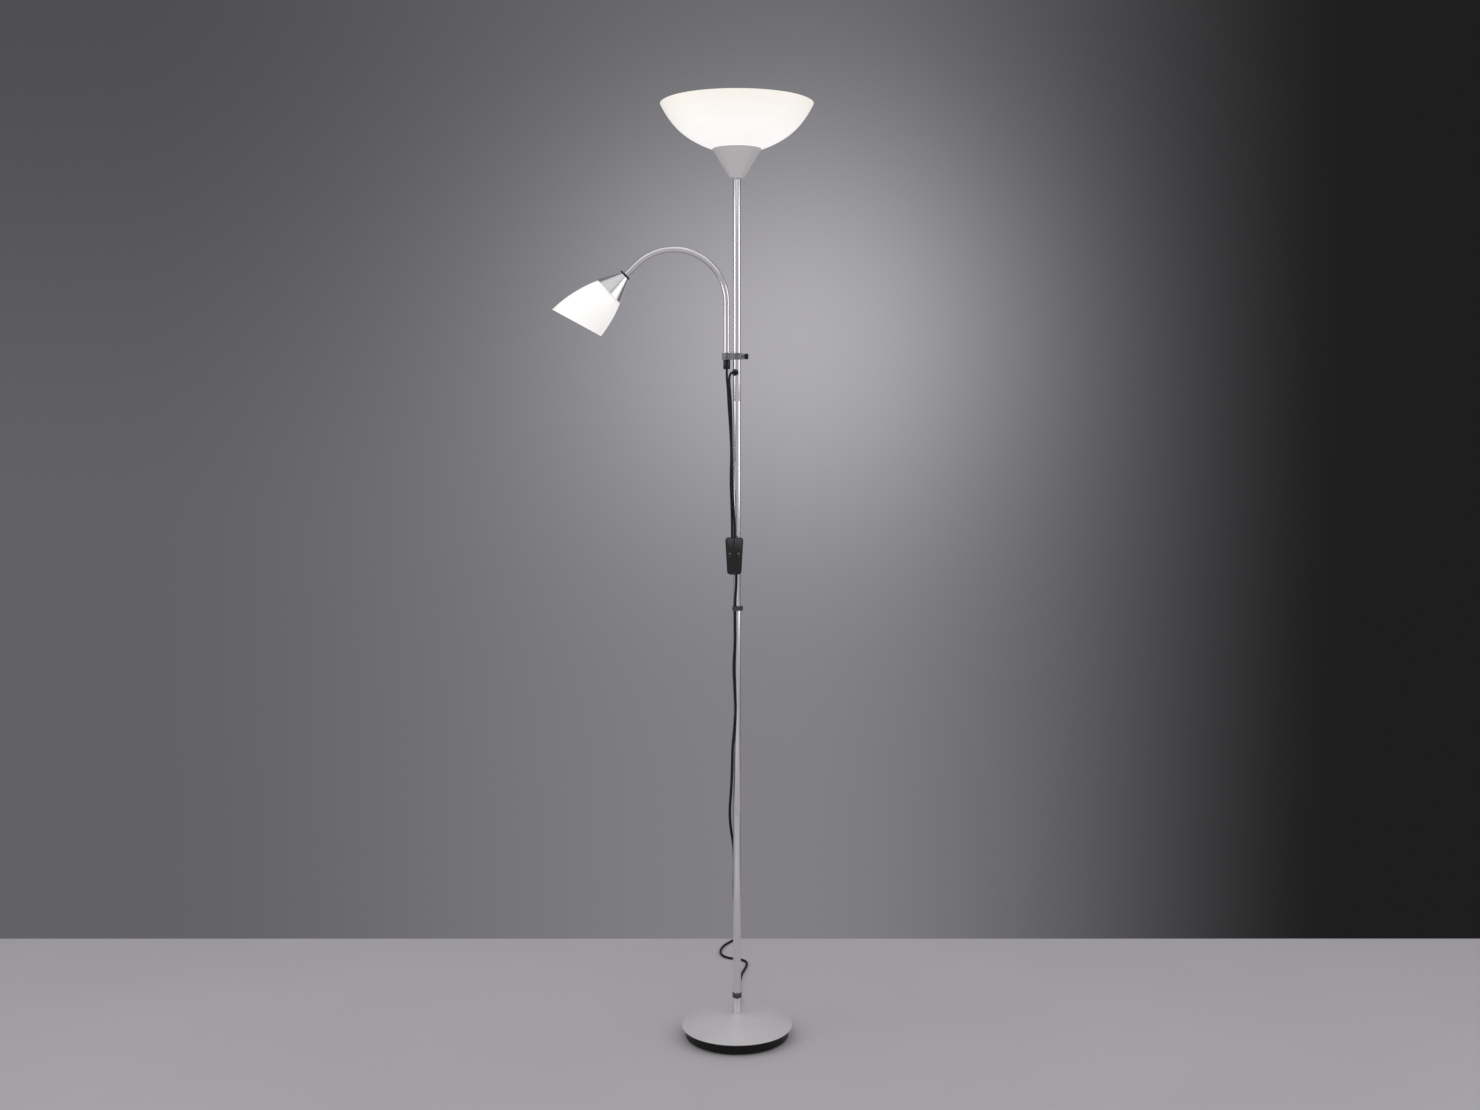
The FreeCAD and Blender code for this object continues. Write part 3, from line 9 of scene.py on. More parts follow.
import bmesh
import bpy
from mathutils import Matrix, Vector
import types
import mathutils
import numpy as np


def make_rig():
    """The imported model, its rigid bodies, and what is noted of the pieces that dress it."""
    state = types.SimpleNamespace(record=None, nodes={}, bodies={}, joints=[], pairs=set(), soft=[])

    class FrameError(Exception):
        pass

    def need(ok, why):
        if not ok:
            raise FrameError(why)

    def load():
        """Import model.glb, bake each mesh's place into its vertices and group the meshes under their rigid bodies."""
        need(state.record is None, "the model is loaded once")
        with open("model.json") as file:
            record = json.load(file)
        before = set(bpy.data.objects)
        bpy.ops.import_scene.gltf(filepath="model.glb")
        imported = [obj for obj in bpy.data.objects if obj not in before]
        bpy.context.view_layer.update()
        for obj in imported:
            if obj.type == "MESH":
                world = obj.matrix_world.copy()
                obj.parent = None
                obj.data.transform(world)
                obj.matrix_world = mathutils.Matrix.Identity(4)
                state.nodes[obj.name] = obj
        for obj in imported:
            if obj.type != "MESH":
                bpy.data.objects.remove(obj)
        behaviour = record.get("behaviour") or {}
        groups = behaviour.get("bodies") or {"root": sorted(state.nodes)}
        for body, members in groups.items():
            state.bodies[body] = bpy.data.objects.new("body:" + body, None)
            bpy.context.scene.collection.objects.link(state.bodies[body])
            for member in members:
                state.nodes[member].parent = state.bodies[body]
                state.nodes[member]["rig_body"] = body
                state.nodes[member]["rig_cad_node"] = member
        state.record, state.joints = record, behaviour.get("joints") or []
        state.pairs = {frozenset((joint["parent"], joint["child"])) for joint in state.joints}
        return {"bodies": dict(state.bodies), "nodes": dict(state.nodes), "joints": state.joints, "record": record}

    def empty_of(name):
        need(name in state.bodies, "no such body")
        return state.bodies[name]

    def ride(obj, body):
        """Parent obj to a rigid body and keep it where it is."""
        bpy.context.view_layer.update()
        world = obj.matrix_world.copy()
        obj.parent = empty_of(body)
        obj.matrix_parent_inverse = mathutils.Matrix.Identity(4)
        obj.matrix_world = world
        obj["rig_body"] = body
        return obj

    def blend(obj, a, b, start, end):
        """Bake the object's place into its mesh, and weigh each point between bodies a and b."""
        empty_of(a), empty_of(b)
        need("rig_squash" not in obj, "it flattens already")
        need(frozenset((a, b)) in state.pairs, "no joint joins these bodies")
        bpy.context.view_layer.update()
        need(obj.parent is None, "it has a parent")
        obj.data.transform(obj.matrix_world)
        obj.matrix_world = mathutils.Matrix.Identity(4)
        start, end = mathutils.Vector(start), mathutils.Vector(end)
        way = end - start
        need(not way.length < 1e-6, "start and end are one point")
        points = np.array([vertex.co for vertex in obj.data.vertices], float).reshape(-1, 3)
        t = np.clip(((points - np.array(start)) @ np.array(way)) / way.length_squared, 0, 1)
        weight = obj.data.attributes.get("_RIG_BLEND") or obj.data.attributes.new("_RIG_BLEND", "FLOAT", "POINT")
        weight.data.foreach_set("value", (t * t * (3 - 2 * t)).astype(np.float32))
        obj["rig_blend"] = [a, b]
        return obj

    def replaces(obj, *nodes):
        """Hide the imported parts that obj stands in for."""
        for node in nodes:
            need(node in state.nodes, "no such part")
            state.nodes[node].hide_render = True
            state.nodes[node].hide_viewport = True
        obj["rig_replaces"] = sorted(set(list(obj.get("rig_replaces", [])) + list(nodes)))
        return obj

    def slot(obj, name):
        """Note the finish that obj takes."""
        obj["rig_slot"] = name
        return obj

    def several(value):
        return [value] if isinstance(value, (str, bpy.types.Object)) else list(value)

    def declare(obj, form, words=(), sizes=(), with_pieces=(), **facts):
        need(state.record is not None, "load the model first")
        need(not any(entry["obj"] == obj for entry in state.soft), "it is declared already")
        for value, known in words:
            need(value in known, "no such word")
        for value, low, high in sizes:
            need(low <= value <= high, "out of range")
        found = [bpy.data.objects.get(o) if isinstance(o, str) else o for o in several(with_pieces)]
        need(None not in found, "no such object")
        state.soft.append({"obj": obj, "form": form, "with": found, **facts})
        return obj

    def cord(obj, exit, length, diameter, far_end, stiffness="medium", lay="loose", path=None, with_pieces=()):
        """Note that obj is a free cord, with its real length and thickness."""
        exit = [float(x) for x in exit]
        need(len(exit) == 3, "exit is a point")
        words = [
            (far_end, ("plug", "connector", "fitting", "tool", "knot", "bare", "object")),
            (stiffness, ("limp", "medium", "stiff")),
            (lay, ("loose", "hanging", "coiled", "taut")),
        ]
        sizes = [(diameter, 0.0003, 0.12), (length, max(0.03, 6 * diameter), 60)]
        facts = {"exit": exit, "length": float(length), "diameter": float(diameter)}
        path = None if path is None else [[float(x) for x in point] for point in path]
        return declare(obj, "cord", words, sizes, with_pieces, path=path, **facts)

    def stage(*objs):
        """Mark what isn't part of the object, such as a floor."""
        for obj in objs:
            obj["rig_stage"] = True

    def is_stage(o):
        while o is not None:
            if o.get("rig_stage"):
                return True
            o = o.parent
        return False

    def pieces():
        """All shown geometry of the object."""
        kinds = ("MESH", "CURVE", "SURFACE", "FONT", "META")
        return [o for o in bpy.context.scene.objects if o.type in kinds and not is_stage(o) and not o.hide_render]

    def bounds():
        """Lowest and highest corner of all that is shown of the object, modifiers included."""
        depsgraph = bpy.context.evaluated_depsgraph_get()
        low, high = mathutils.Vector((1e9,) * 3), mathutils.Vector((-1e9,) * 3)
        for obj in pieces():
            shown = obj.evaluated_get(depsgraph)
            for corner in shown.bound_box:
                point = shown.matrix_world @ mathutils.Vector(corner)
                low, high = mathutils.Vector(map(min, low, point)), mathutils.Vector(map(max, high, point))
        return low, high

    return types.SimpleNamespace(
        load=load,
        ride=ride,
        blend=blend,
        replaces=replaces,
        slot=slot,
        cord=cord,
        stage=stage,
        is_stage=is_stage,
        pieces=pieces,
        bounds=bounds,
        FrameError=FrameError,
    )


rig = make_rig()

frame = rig.load()
cad_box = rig.bounds()

MM = 0.001
MERGE_DISTANCE = 1e-6


# ---------------------------------------------------------------- camera
CAMERA_PLACE = (0.0059, -3.09, 1.221)
CAMERA_PITCH = 85.0
LENS = 39.31
SENSOR_WIDTH = 36.0
VIEW_DISTANCE = 60.0

camera = bpy.data.objects.new("camera", bpy.data.cameras.new("camera"))
bpy.context.scene.collection.objects.link(camera)
camera.data.lens = LENS
camera.data.sensor_width = SENSOR_WIDTH
camera.data.clip_end = VIEW_DISTANCE
camera.location = CAMERA_PLACE
camera.rotation_euler = (math.radians(CAMERA_PITCH), 0.0, 0.0)
bpy.context.scene.camera = camera


# ---------------------------------------------------------------- small helpers
# Steepest bend that is shaded smooth, on new pieces and on softened CAD nodes
SHARP_ANGLE = 32
SOFT_ANGLE = 38
# Faces that bend less than this are joined before a CAD node is softened
FLAT_ANGLE = 1.0


def place(name, mesh):
    """A new object at the origin for a mesh or a curve."""
    piece = bpy.data.objects.new(name, mesh)
    bpy.context.scene.collection.objects.link(piece)
    return piece


def mesh_piece(name, bm, smooth_angle=SHARP_ANGLE):
    """A piece from a finished bmesh, shaded smooth but for its sharp edges."""
    bmesh.ops.recalc_face_normals(bm, faces=bm.faces[:])
    mesh = bpy.data.meshes.new(name)
    bm.to_mesh(mesh)
    bm.free()
    mesh.polygons.foreach_set("use_smooth", [True] * len(mesh.polygons))
    mesh.set_sharp_from_angle(angle=math.radians(smooth_angle))
    return place(name, mesh)


def turned(name, outline, steps, where=Matrix(), smooth_angle=SHARP_ANGLE):
    """A piece spun about its own Z from a closed outline of (radius, height)."""
    bm = bmesh.new()
    points = [bm.verts.new((radius * MM, 0, height * MM)) for radius, height in outline]
    rim = [bm.edges.new(pair) for pair in zip(points, points[1:] + points[:1])]
    bmesh.ops.spin(bm, geom=points + rim, cent=(0, 0, 0), axis=(0, 0, 1), angle=math.tau, steps=steps,
                   use_merge=True)
    bmesh.ops.remove_doubles(bm, verts=bm.verts[:], dist=MERGE_DISTANCE)
    bmesh.ops.transform(bm, matrix=where, verts=bm.verts[:])
    return mesh_piece(name, bm, smooth_angle)


def add_rounding(piece, width, angle):
    """Rounds a piece's sharp edges with a live modifier, and returns the modifier."""
    bevel = piece.modifiers.new("rounded edges", "BEVEL")
    bevel.width = width * MM
    bevel.segments = 2
    bevel.limit_method = "ANGLE"
    bevel.angle_limit = math.radians(angle)
    bevel.use_clamp_overlap = True
    return bevel


def softened(node, width):
    """A copy of a CAD node with its edges rounded, standing for the node and riding on its body."""
    source = frame["nodes"][node]
    bm = bmesh.new()
    bm.from_mesh(source.data)
    bmesh.ops.remove_doubles(bm, verts=bm.verts[:], dist=2 * MERGE_DISTANCE)
    bmesh.ops.dissolve_limit(bm, angle_limit=math.radians(FLAT_ANGLE), verts=bm.verts[:], edges=bm.edges[:])
    piece = mesh_piece(node + ".soft", bm, SOFT_ANGLE)
    add_rounding(piece, width, SOFT_ANGLE).harden_normals = True
    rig.replaces(piece, node)
    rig.ride(piece, source["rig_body"])
    return piece


# ---------------------------------------------------------------- cords
def nurbs_curve(name, route):
    """A smooth line whose control points are the route's, in metres."""
    data = bpy.data.curves.new(name, "CURVE")
    data.dimensions = "3D"
    spline = data.splines.new("NURBS")
    spline.points.add(len(route) - 1)
    for point, (x, y, z) in zip(spline.points, route):
        point.co = (x, y, z, 1.0)
    spline.order_u = 3
    spline.use_endpoint_u = True
    spline.resolution_u = 8
    return data


def cord_mesh(name, route, diameter):
    """The cord as a mesh, and the points that it follows."""
    curve = place(name + ".curve", nurbs_curve(name + ".curve", route))
    path = [vertex.co.copy() for vertex in bpy.data.meshes.new_from_object(curve).vertices]
    curve.data.bevel_depth = diameter / 2
    curve.data.bevel_resolution = 6
    curve.data.use_fill_caps = True
    mesh = bpy.data.meshes.new_from_object(curve)
    bpy.data.objects.remove(curve)
    mesh.polygons.foreach_set("use_smooth", [True] * len(mesh.polygons))
    return place(name, mesh), path


CORD = 4.4 * MM
LEAD = 5.2 * MM
# Where the lead enters the plug, and the coil's middle in its lower layer, in millimetres
LEAD_END = (11.25, 667.2, 9.9)
COIL_CENTRE = (-24.0, 662.0, 3.8)
COIL_RADIUS = 35.1
COIL_PITCH = 6.1
TOP_JOINT = 1.245
SWITCH_FOOT = 0.915
LOWER_CLIP = 0.083
LEAD_DROP = SWITCH_FOOT - LOWER_CLIP

# x, y and height above the pole's top joint, in millimetres
arm_cord_places = [
    (-19.3, 0.0, 60.0), (-19.3, 0.0, 43.0), (-17.0, -3.2, 21.0), (-15.8, -6.2, -9.0),
    (-12.8, -7.8, -49.0), (-10.4, -7.4, -97.0), (-12.2, -8.6, -147.0), (-10.6, -12.6, -191.0),
    (-9.4, -18.2, -227.0), (-9.3, -18.8, -259.0),
]
pole_cord_places = [
    (-5.25, -9.093, 53.8), (-10.5, -18.187, 53.8), (-14.1, -25.0, 46.6), (-14.4, -27.0, 35.0),
    (-13.0, -25.0, 19.0), (-11.4, -20.4, -4.0), (-10.4, -15.8, -41.0), (-9.8, -13.2, -93.0),
    (-8.6, -14.6, -145.0), (-7.0, -17.8, -193.0), (-4.6, -18.6, -229.0), (-4.3, -18.8, -259.0),
]
# x, y and the share of the drop from the switch to the lower clip
hanging_lead_places = [
    (-1.2, -18.8, 0.0), (-1.2, -18.6, 0.0216), (-2.7, -12.6, 0.0457), (-4.0, -9.7, 0.0709),
    (-4.0, -9.7, 0.0986), (-3.2, -10.8, 0.1587), (-6.8, -9.7, 0.2139), (-4.4, -10.9, 0.2656),
    (-2.2, -11.4, 0.3137), (-4.6, -10.7, 0.3570), (-8.6, -8.6, 0.4050), (-9.4, -7.4, 0.4567),
    (-11.2, -5.6, 0.5084), (-14.6, -0.6, 0.5565), (-12.6, 6.4, 0.5998), (-6.4, 10.8, 0.6442),
    (-4.9, 12.4, 0.6971), (-6.6, 11.6, 0.7572), (-3.0, 12.0, 0.8173), (-0.6, 11.4, 0.8774),
    (0.7, 11.2, 0.9315), (0.5, 10.5, 0.9772),
]
# x, y and height above the floor, in millimetres
floor_lead_places = [
    (0.5, 10.5, 76.0), (0.9, 18.9, 61.5), (1.6, 33.4, 53.2), (2.4, 53.0, 52.6), (3.4, 76.0, 48.5),
    (4.4, 97.0, 41.0), (4.4, 114.0, 31.5), (4.2, 130.5, 18.0), (4.2, 148.0, 5.5), (4.4, 170.0, 2.7),
    (4.0, 212.0, 2.7), (3.6, 262.0, 2.7), (5.4, 308.0, 2.7), (10.6, 350.0, 2.7), (17.6, 380.0, 2.7),
    (21.3, 404.0, 2.7), (21.0, 420.8, 2.7), (12.7, 435.2, 2.7), (-1.7, 443.5, 2.7),
    (-18.5, 447.0, 2.7), (-31.5, 459.5, 2.7), (-38.0, 478.0, 2.7), (-38.5, 502.0, 2.7),
    (-33.0, 528.0, 2.7), (-21.0, 554.0, 2.7), (-5.0, 578.0, 2.7), (6.4, 604.0, 3.1),
    (11.819, 636.01, 3.8), (11.244, 656.802, 3.8),
]


def from_joint(places):
    """Places in metres from places that are measured from the pole's top joint."""
    return [(x * MM, y * MM, TOP_JOINT + height * MM) for x, y, height in places]


def coil_places():
    """Control points of the coil: twelve a turn, two turns spiralling in and two lying on them out again."""
    per_turn = 12
    half = 2 * per_turn
    pull = 1 / math.cos(math.pi / per_turn)
    places = []
    for step in range(1, 2 * half + 1):
        angle = math.tau * step / per_turn
        radius = (COIL_RADIUS - COIL_PITCH * (half - abs(step - half)) / per_turn) * pull
        climb = min(max((step - half) / (per_turn / 2) + 0.5, 0), 1)
        places.append((COIL_CENTRE[0] + radius * math.cos(angle), COIL_CENTRE[1] + radius * math.sin(angle),
                       COIL_CENTRE[2] + COIL_PITCH * climb))
    return places + [LEAD_END]


lead_route = [(x * MM, y * MM, SWITCH_FOOT - LEAD_DROP * share) for x, y, share in hanging_lead_places]
lead_route += [(x * MM, y * MM, z * MM) for x, y, z in floor_lead_places + coil_places()]
pole_cord_route = from_joint(pole_cord_places)
arm_cord_route = from_joint(arm_cord_places)

mains_lead, mains_lead_path = cord_mesh("mains_lead.smooth", lead_route, LEAD)
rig.replaces(mains_lead, "mains_lead", "lead_coil")
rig.ride(mains_lead, "root")
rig.slot(mains_lead, "cord_rubber")

pole_cord, pole_cord_path = cord_mesh("pole_cord.smooth", pole_cord_route, CORD)
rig.replaces(pole_cord, "pole_cord")
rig.ride(pole_cord, "root")
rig.slot(pole_cord, "cord_rubber")
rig.cord(pole_cord, exit=pole_cord_route[0], length=0.327, diameter=CORD, far_end="object", stiffness="limp",
        lay="hanging", path=pole_cord_path)

arm_cord, arm_cord_path = cord_mesh("arm_cord.smooth", arm_cord_route, CORD)
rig.replaces(arm_cord, "arm_cord")
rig.slot(arm_cord, "cord_rubber")
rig.blend(arm_cord, "root", "clamp", start=(-0.0093, -0.0188, 1.0), end=(-0.0193, 0.0, 1.29))
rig.cord(arm_cord, exit=arm_cord_route[0], length=0.32, diameter=CORD, far_end="object", stiffness="limp",
        lay="hanging", path=arm_cord_path)


# ---------------------------------------------------------------- finishes
class Value:
    """One output in a material's nodes. Arithmetic on it adds Math nodes."""

    def __init__(self, finish, socket):
        self.finish = finish
        self.socket = socket

    def math(self, operation, first, second):
        """The result of a Math node on two values or numbers."""
        return self.finish.node("ShaderNodeMath", {"operation": operation}, {0: first, 1: second})

    def __add__(self, other):
        return self.math("ADD", self, other)

    __radd__ = __add__

    def __sub__(self, other):
        return self.math("SUBTRACT", self, other)

    def __rsub__(self, other):
        return self.math("SUBTRACT", other, self)

    def __mul__(self, other):
        return self.math("MULTIPLY", self, other)

    __rmul__ = __mul__

    def __truediv__(self, other):
        return self.math("DIVIDE", self, other)

    def __pow__(self, other):
        return self.math("POWER", self, other)

    def between(self, low, high):
        """0 below low, 1 above high, smooth in between."""
        return self.finish.node("ShaderNodeMapRange", {"interpolation_type": "SMOOTHSTEP"},
                                {"Value": self, "From Min": low, "From Max": high})


class Finish:
    """A material built node by node round one Principled shader."""

    def __init__(self, name, **constants):
        self.material = bpy.data.materials.new(name)
        self.material.use_nodes = True
        self.tree = self.material.node_tree
        self.tree.nodes.clear()
        self.output = self.tree.nodes.new("ShaderNodeOutputMaterial")
        self.shader = self.tree.nodes.new("ShaderNodeBsdfPrincipled")
        self.tree.links.new(self.shader.outputs[0], self.output.inputs[0])
        for socket, value in constants.items():
            self.shader.inputs[socket.replace("_", " ")].default_value = value

    def node(self, kind, settings=None, inputs=None, output=0):
        """One output of a new node, with its settings and the values or links of its sockets."""
        made = self.tree.nodes.new(kind)
        for key, value in (settings or {}).items():
            setattr(made, key, value)
        for key, value in (inputs or {}).items():
            self.feed(made.inputs[key], value)
        return Value(self, made.outputs[output])

    def feed(self, socket, value):
        """Links a value to a socket, or sets the socket where the value is a plain number or colour."""
        if isinstance(value, Value):
            self.tree.links.new(value.socket, socket)
        else:
            socket.default_value = value

    def surface(self, **values):
        """The finished material, with these values on the shader's own sockets."""
        for socket, value in values.items():
            self.feed(self.shader.inputs[socket.replace("_", " ")], value)
        return self.material

    def place(self):
        """Object coordinates of the surface."""
        return self.node("ShaderNodeTexCoord", output="Object")

    def noise(self, size, detail, roughness):
        """Noise from 0 to 1 whose features are about one size across, in millimetres."""
        return self.node("ShaderNodeTexNoise", {}, {
            "Vector": self.place(), "Scale": 1 / (size * MM), "Detail": detail, "Roughness": roughness})

    def mix(self, factor, first, second):
        """A colour between two; the numbers are the Mix node's colour sockets."""
        sockets = {0: factor, 6: rgba(first), 7: rgba(second)}
        return self.node("ShaderNodeMix", {"data_type": "RGBA"}, sockets, output=2)

    def bump(self, height, strength, depth):
        """The normal of a relief, whose depth is in millimetres."""
        sockets = {"Strength": strength, "Distance": depth * MM, "Height": height}
        return self.node("ShaderNodeBump", {}, sockets)

    def along(self, axis):
        """How far along an axis of the model a point lies."""
        return self.node("ShaderNodeSeparateXYZ", {}, {0: self.place()}, output="XYZ".index(axis))


def rgba(colour):
    """A colour with its alpha, or a node's colour as it is."""
    return colour if isinstance(colour, Value) else (*colour, 1.0)


def silver_lacquer(name, base, worn, rough, metal):
    """Silver lacquer: fine flakes, a faint orange peel, cloudy gloss and a few rubbed spots."""
    finish = Finish(name, Metallic=metal, IOR=1.6)
    flakes = finish.noise(0.5, 2, 0.6)
    peel = finish.noise(5, 2, 0.4)
    clouds = finish.noise(45, 4, 0.55)
    specks = finish.noise(2.2, 1, 0.5).between(0.70, 0.78)
    colour = finish.mix(clouds.between(0.35, 0.7) * 0.35 + specks * 0.3 + (flakes - 0.5) * 0.25, base, worn)
    roughness = rough + (clouds - 0.5) * 0.06 + specks * 0.08
    return finish.surface(Base_Color=colour, Roughness=roughness, Normal=finish.bump(peel, 0.08, 0.02))


def plated_metal(name, base, worn, rough):
    """Plated or bare metal: fine marks, cloudy roughness and small dull spots."""
    finish = Finish(name, Metallic=1.0, IOR=2.0)
    marks = finish.noise(0.8, 2, 0.6)
    clouds = finish.noise(38, 4, 0.55)
    specks = finish.noise(1.6, 1, 0.5).between(0.68, 0.76)
    colour = finish.mix(clouds.between(0.35, 0.7) * 0.5 + specks * 0.35, base, worn)
    roughness = rough + (clouds - 0.5) * 0.10 + (marks - 0.5) * 0.10 + specks * 0.12
    return finish.surface(Base_Color=colour, Roughness=roughness, Normal=finish.bump(marks, 0.10, 0.05))


def moulded_plastic(name, base, bright, rough, grain, depth, **constants):
    """Moulded plastic: a fine grain, handled patches that shine more and a little dust."""
    finish = Finish(name, **constants)
    texture = finish.noise(grain, 3, 0.6)
    handled = finish.noise(16, 3, 0.5).between(0.42, 0.68)
    dust = finish.noise(0.5, 1, 0.5).between(0.70, 0.80)
    colour = finish.mix(handled * 0.45 + dust * 0.5, base, bright)
    roughness = rough - handled * 0.12 + dust * 0.15 + (texture - 0.5) * 0.12
    return finish.surface(Base_Color=colour, Roughness=roughness, Normal=finish.bump(texture, 0.25, depth))


def opal(name, glow_centre, reach, glow):
    """Opal plastic lit from inside, whitest up to the first reach and warmest past the second."""
    finish = Finish(name, IOR=1.49, Emission_Strength=glow)
    far = finish.node("ShaderNodeVectorMath", {"operation": "DISTANCE"},
                      {0: finish.place(), 1: glow_centre}, output="Value")
    edge = far.between(*reach)
    flow = finish.noise(60, 3, 0.5)
    ripple = finish.noise(7, 2, 0.5)
    skin = finish.mix(flow.between(0.3, 0.7) * 0.6, (0.84, 0.83, 0.80), (0.88, 0.87, 0.85))
    light = finish.mix(edge + (flow - 0.5) * 0.12, (1.0, 0.99, 0.975), (0.74, 0.68, 0.57))
    roughness = 0.24 + (flow - 0.5) * 0.10
    return finish.surface(Base_Color=skin, Roughness=roughness, Emission_Color=light,
                          Normal=finish.bump(ripple, 0.06, 0.05))


def cord_rubber():
    """Black cable sheath: a dull skin with faint draw lines and paler rubbed patches."""
    finish = Finish("cord_rubber", IOR=1.36)
    skin = finish.noise(0.35, 2, 0.6)
    rubbed = finish.noise(22, 3, 0.6).between(0.5, 0.72)
    colour = finish.mix(rubbed * 0.6 + (skin - 0.5) * 0.3, (0.006, 0.006, 0.006), (0.022, 0.021, 0.021))
    return finish.surface(Base_Color=colour, Roughness=0.46 - rubbed * 0.10 + (skin - 0.5) * 0.12,
                          Normal=finish.bump(skin, 0.22, 0.05))


def lamp_glass():
    """Frosted bulb that is switched on."""
    finish = Finish("bulb_glass", Roughness=0.35, IOR=1.5, Emission_Strength=1.1)
    frost = finish.noise(0.6, 2, 0.5)
    cloud = finish.noise(20, 2, 0.5)
    colour = finish.mix(cloud * 0.5, (0.86, 0.85, 0.82), (0.92, 0.91, 0.88))
    light = finish.mix(cloud.between(0.3, 0.7) * 0.6, (1.0, 0.93, 0.80), (1.0, 0.97, 0.90))
    return finish.surface(Base_Color=colour, Emission_Color=light, Normal=finish.bump(frost, 0.15, 0.05))


def cast_iron():
    """Rough casting with rusty patches."""
    finish = Finish("iron", Metallic=0.6)
    skin = finish.noise(1.4, 5, 0.65)
    rust = finish.noise(30, 4, 0.6).between(0.55, 0.75)
    colour = finish.mix(rust * 0.7, (0.075, 0.075, 0.08), (0.14, 0.085, 0.055))
    return finish.surface(Base_Color=colour, Roughness=0.62 + (skin - 0.5) * 0.25,
                          Normal=finish.bump(skin, 0.6, 0.4))


# Name: lighter colour, darker colour, roughness, metallic
silver_finishes = {
    "pole_metal": ((0.84, 0.82, 0.835), (0.74, 0.725, 0.735), 0.20, 0.88),
    "turned_metal": ((0.70, 0.68, 0.695), (0.64, 0.62, 0.63), 0.34, 0.15),
    # cone_metal is turned_metal's silver paint made paler: painted light that makes up for the shade the bowl throws
    # on the holder cone
    "cone_metal": ((0.80, 0.775, 0.775), (0.74, 0.715, 0.715), 0.36, 0.15),
    "head_metal": ((0.80, 0.785, 0.79), (0.74, 0.725, 0.73), 0.24, 0.85),
    "arm_metal": ((0.80, 0.785, 0.795), (0.70, 0.69, 0.695), 0.20, 0.9),
}
# Name: clean colour, worn colour, roughness
plated_finishes = {
    "steel": ((0.55, 0.55, 0.56), (0.42, 0.41, 0.40), 0.35),
    "brass": ((0.72, 0.53, 0.25), (0.48, 0.33, 0.15), 0.32),
}
# Name: colour, colour where it is handled, roughness, grain's size and depth in millimetres, other constants
plastic_finishes = {
    "black_plastic": ((0.006, 0.006, 0.007), (0.014, 0.013, 0.014), 0.18, 1.2, 0.015, {"IOR": 1.42}),
    "tray_plastic": ((0.006, 0.006, 0.007), (0.016, 0.015, 0.016), 0.42, 0.9, 0.06, {"IOR": 1.3}),
    "foot_rubber": ((0.016, 0.016, 0.017), (0.045, 0.044, 0.043), 0.72, 0.6, 0.10, {}),
    "clamp_plastic": ((0.20, 0.195, 0.20), (0.30, 0.295, 0.30), 0.22, 1.1, 0.03,
                      {"IOR": 1.49, "Coat_Weight": 0.6, "Coat_Roughness": 0.08, "Alpha": 0.55}),
    "clip_plastic": ((0.045, 0.044, 0.046), (0.09, 0.088, 0.09), 0.36, 0.8, 0.05, {}),
    "switch_plastic": ((0.006, 0.006, 0.006), (0.014, 0.013, 0.014), 0.16, 1.2, 0.01, {"IOR": 1.5}),
    "rocker_plastic": ((0.020, 0.019, 0.020), (0.045, 0.044, 0.046), 0.16, 1.0, 0.015, {}),
    "lampholder_plastic": ((0.62, 0.60, 0.55), (0.74, 0.72, 0.68), 0.38, 0.9, 0.05, {}),
    "tie_plastic": ((0.02, 0.02, 0.021), (0.06, 0.06, 0.06), 0.45, 0.5, 0.06, {}),
    "plug_plastic": ((0.013, 0.013, 0.014), (0.032, 0.031, 0.032), 0.40, 0.5, 0.06, {}),
}
finishes = {name: silver_lacquer(name, *look) for name, look in silver_finishes.items()}
finishes.update({name: plated_metal(name, *look) for name, look in plated_finishes.items()})
finishes.update({name: moulded_plastic(name, *look[:-1], **look[-1])
                 for name, look in plastic_finishes.items()})
UPLIGHT_GLOW_CENTRE = (0.0, 0.0, 1.765)
READING_GLOW_CENTRE = (-0.268, 0.0, 1.427)
finishes.update({
    "iron": cast_iron(),
    "uplight_opal": opal("uplight_opal", glow_centre=UPLIGHT_GLOW_CENTRE, reach=(0.085, 0.165), glow=0.58),
    "reading_opal": opal("reading_opal", glow_centre=READING_GLOW_CENTRE, reach=(0.060, 0.100), glow=0.46),
    "bulb_glass": lamp_glass(),
    "cord_rubber": cord_rubber(),
})


def dress(names, finish):
    """Gives one finish to CAD nodes or to pieces made here."""
    for name in names:
        piece = frame["nodes"].get(name) or bpy.data.objects[name]
        piece.data.materials.clear()
        piece.data.materials.append(finishes[finish])


# ---------------------------------------------------------------- pole sections
POLE_RADIUS = 7.5
POLE_BORE = 6.5
POLE_FOOT = 45.0
POLE_TOP = 1661.6
SECTION_LENGTH = 400.0
SECTION_COUNT = 4
END_ROUNDING = 0.35
# How far in from the tube's side and end the rounding's middle lies
ROUNDING_MIDDLE = (0.06, 0.12)

for index in range(SECTION_COUNT):
    foot = POLE_FOOT + SECTION_LENGTH * index
    head = POLE_TOP if index == SECTION_COUNT - 1 else foot + SECTION_LENGTH
    inset, rise = ROUNDING_MIDDLE
    section = turned("pole_section_%d" % (index + 1), [
        (POLE_BORE, foot), (POLE_RADIUS - END_ROUNDING, foot), (POLE_RADIUS - inset, foot + rise),
        (POLE_RADIUS, foot + END_ROUNDING), (POLE_RADIUS, head - END_ROUNDING),
        (POLE_RADIUS - inset, head - rise), (POLE_RADIUS - END_ROUNDING, head), (POLE_BORE, head)], steps=64)
    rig.replaces(section, "pole_tube_%d" % (index + 1))
    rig.ride(section, "root")
    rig.slot(section, "satin_metal")
    dress([section.name], "pole_metal")


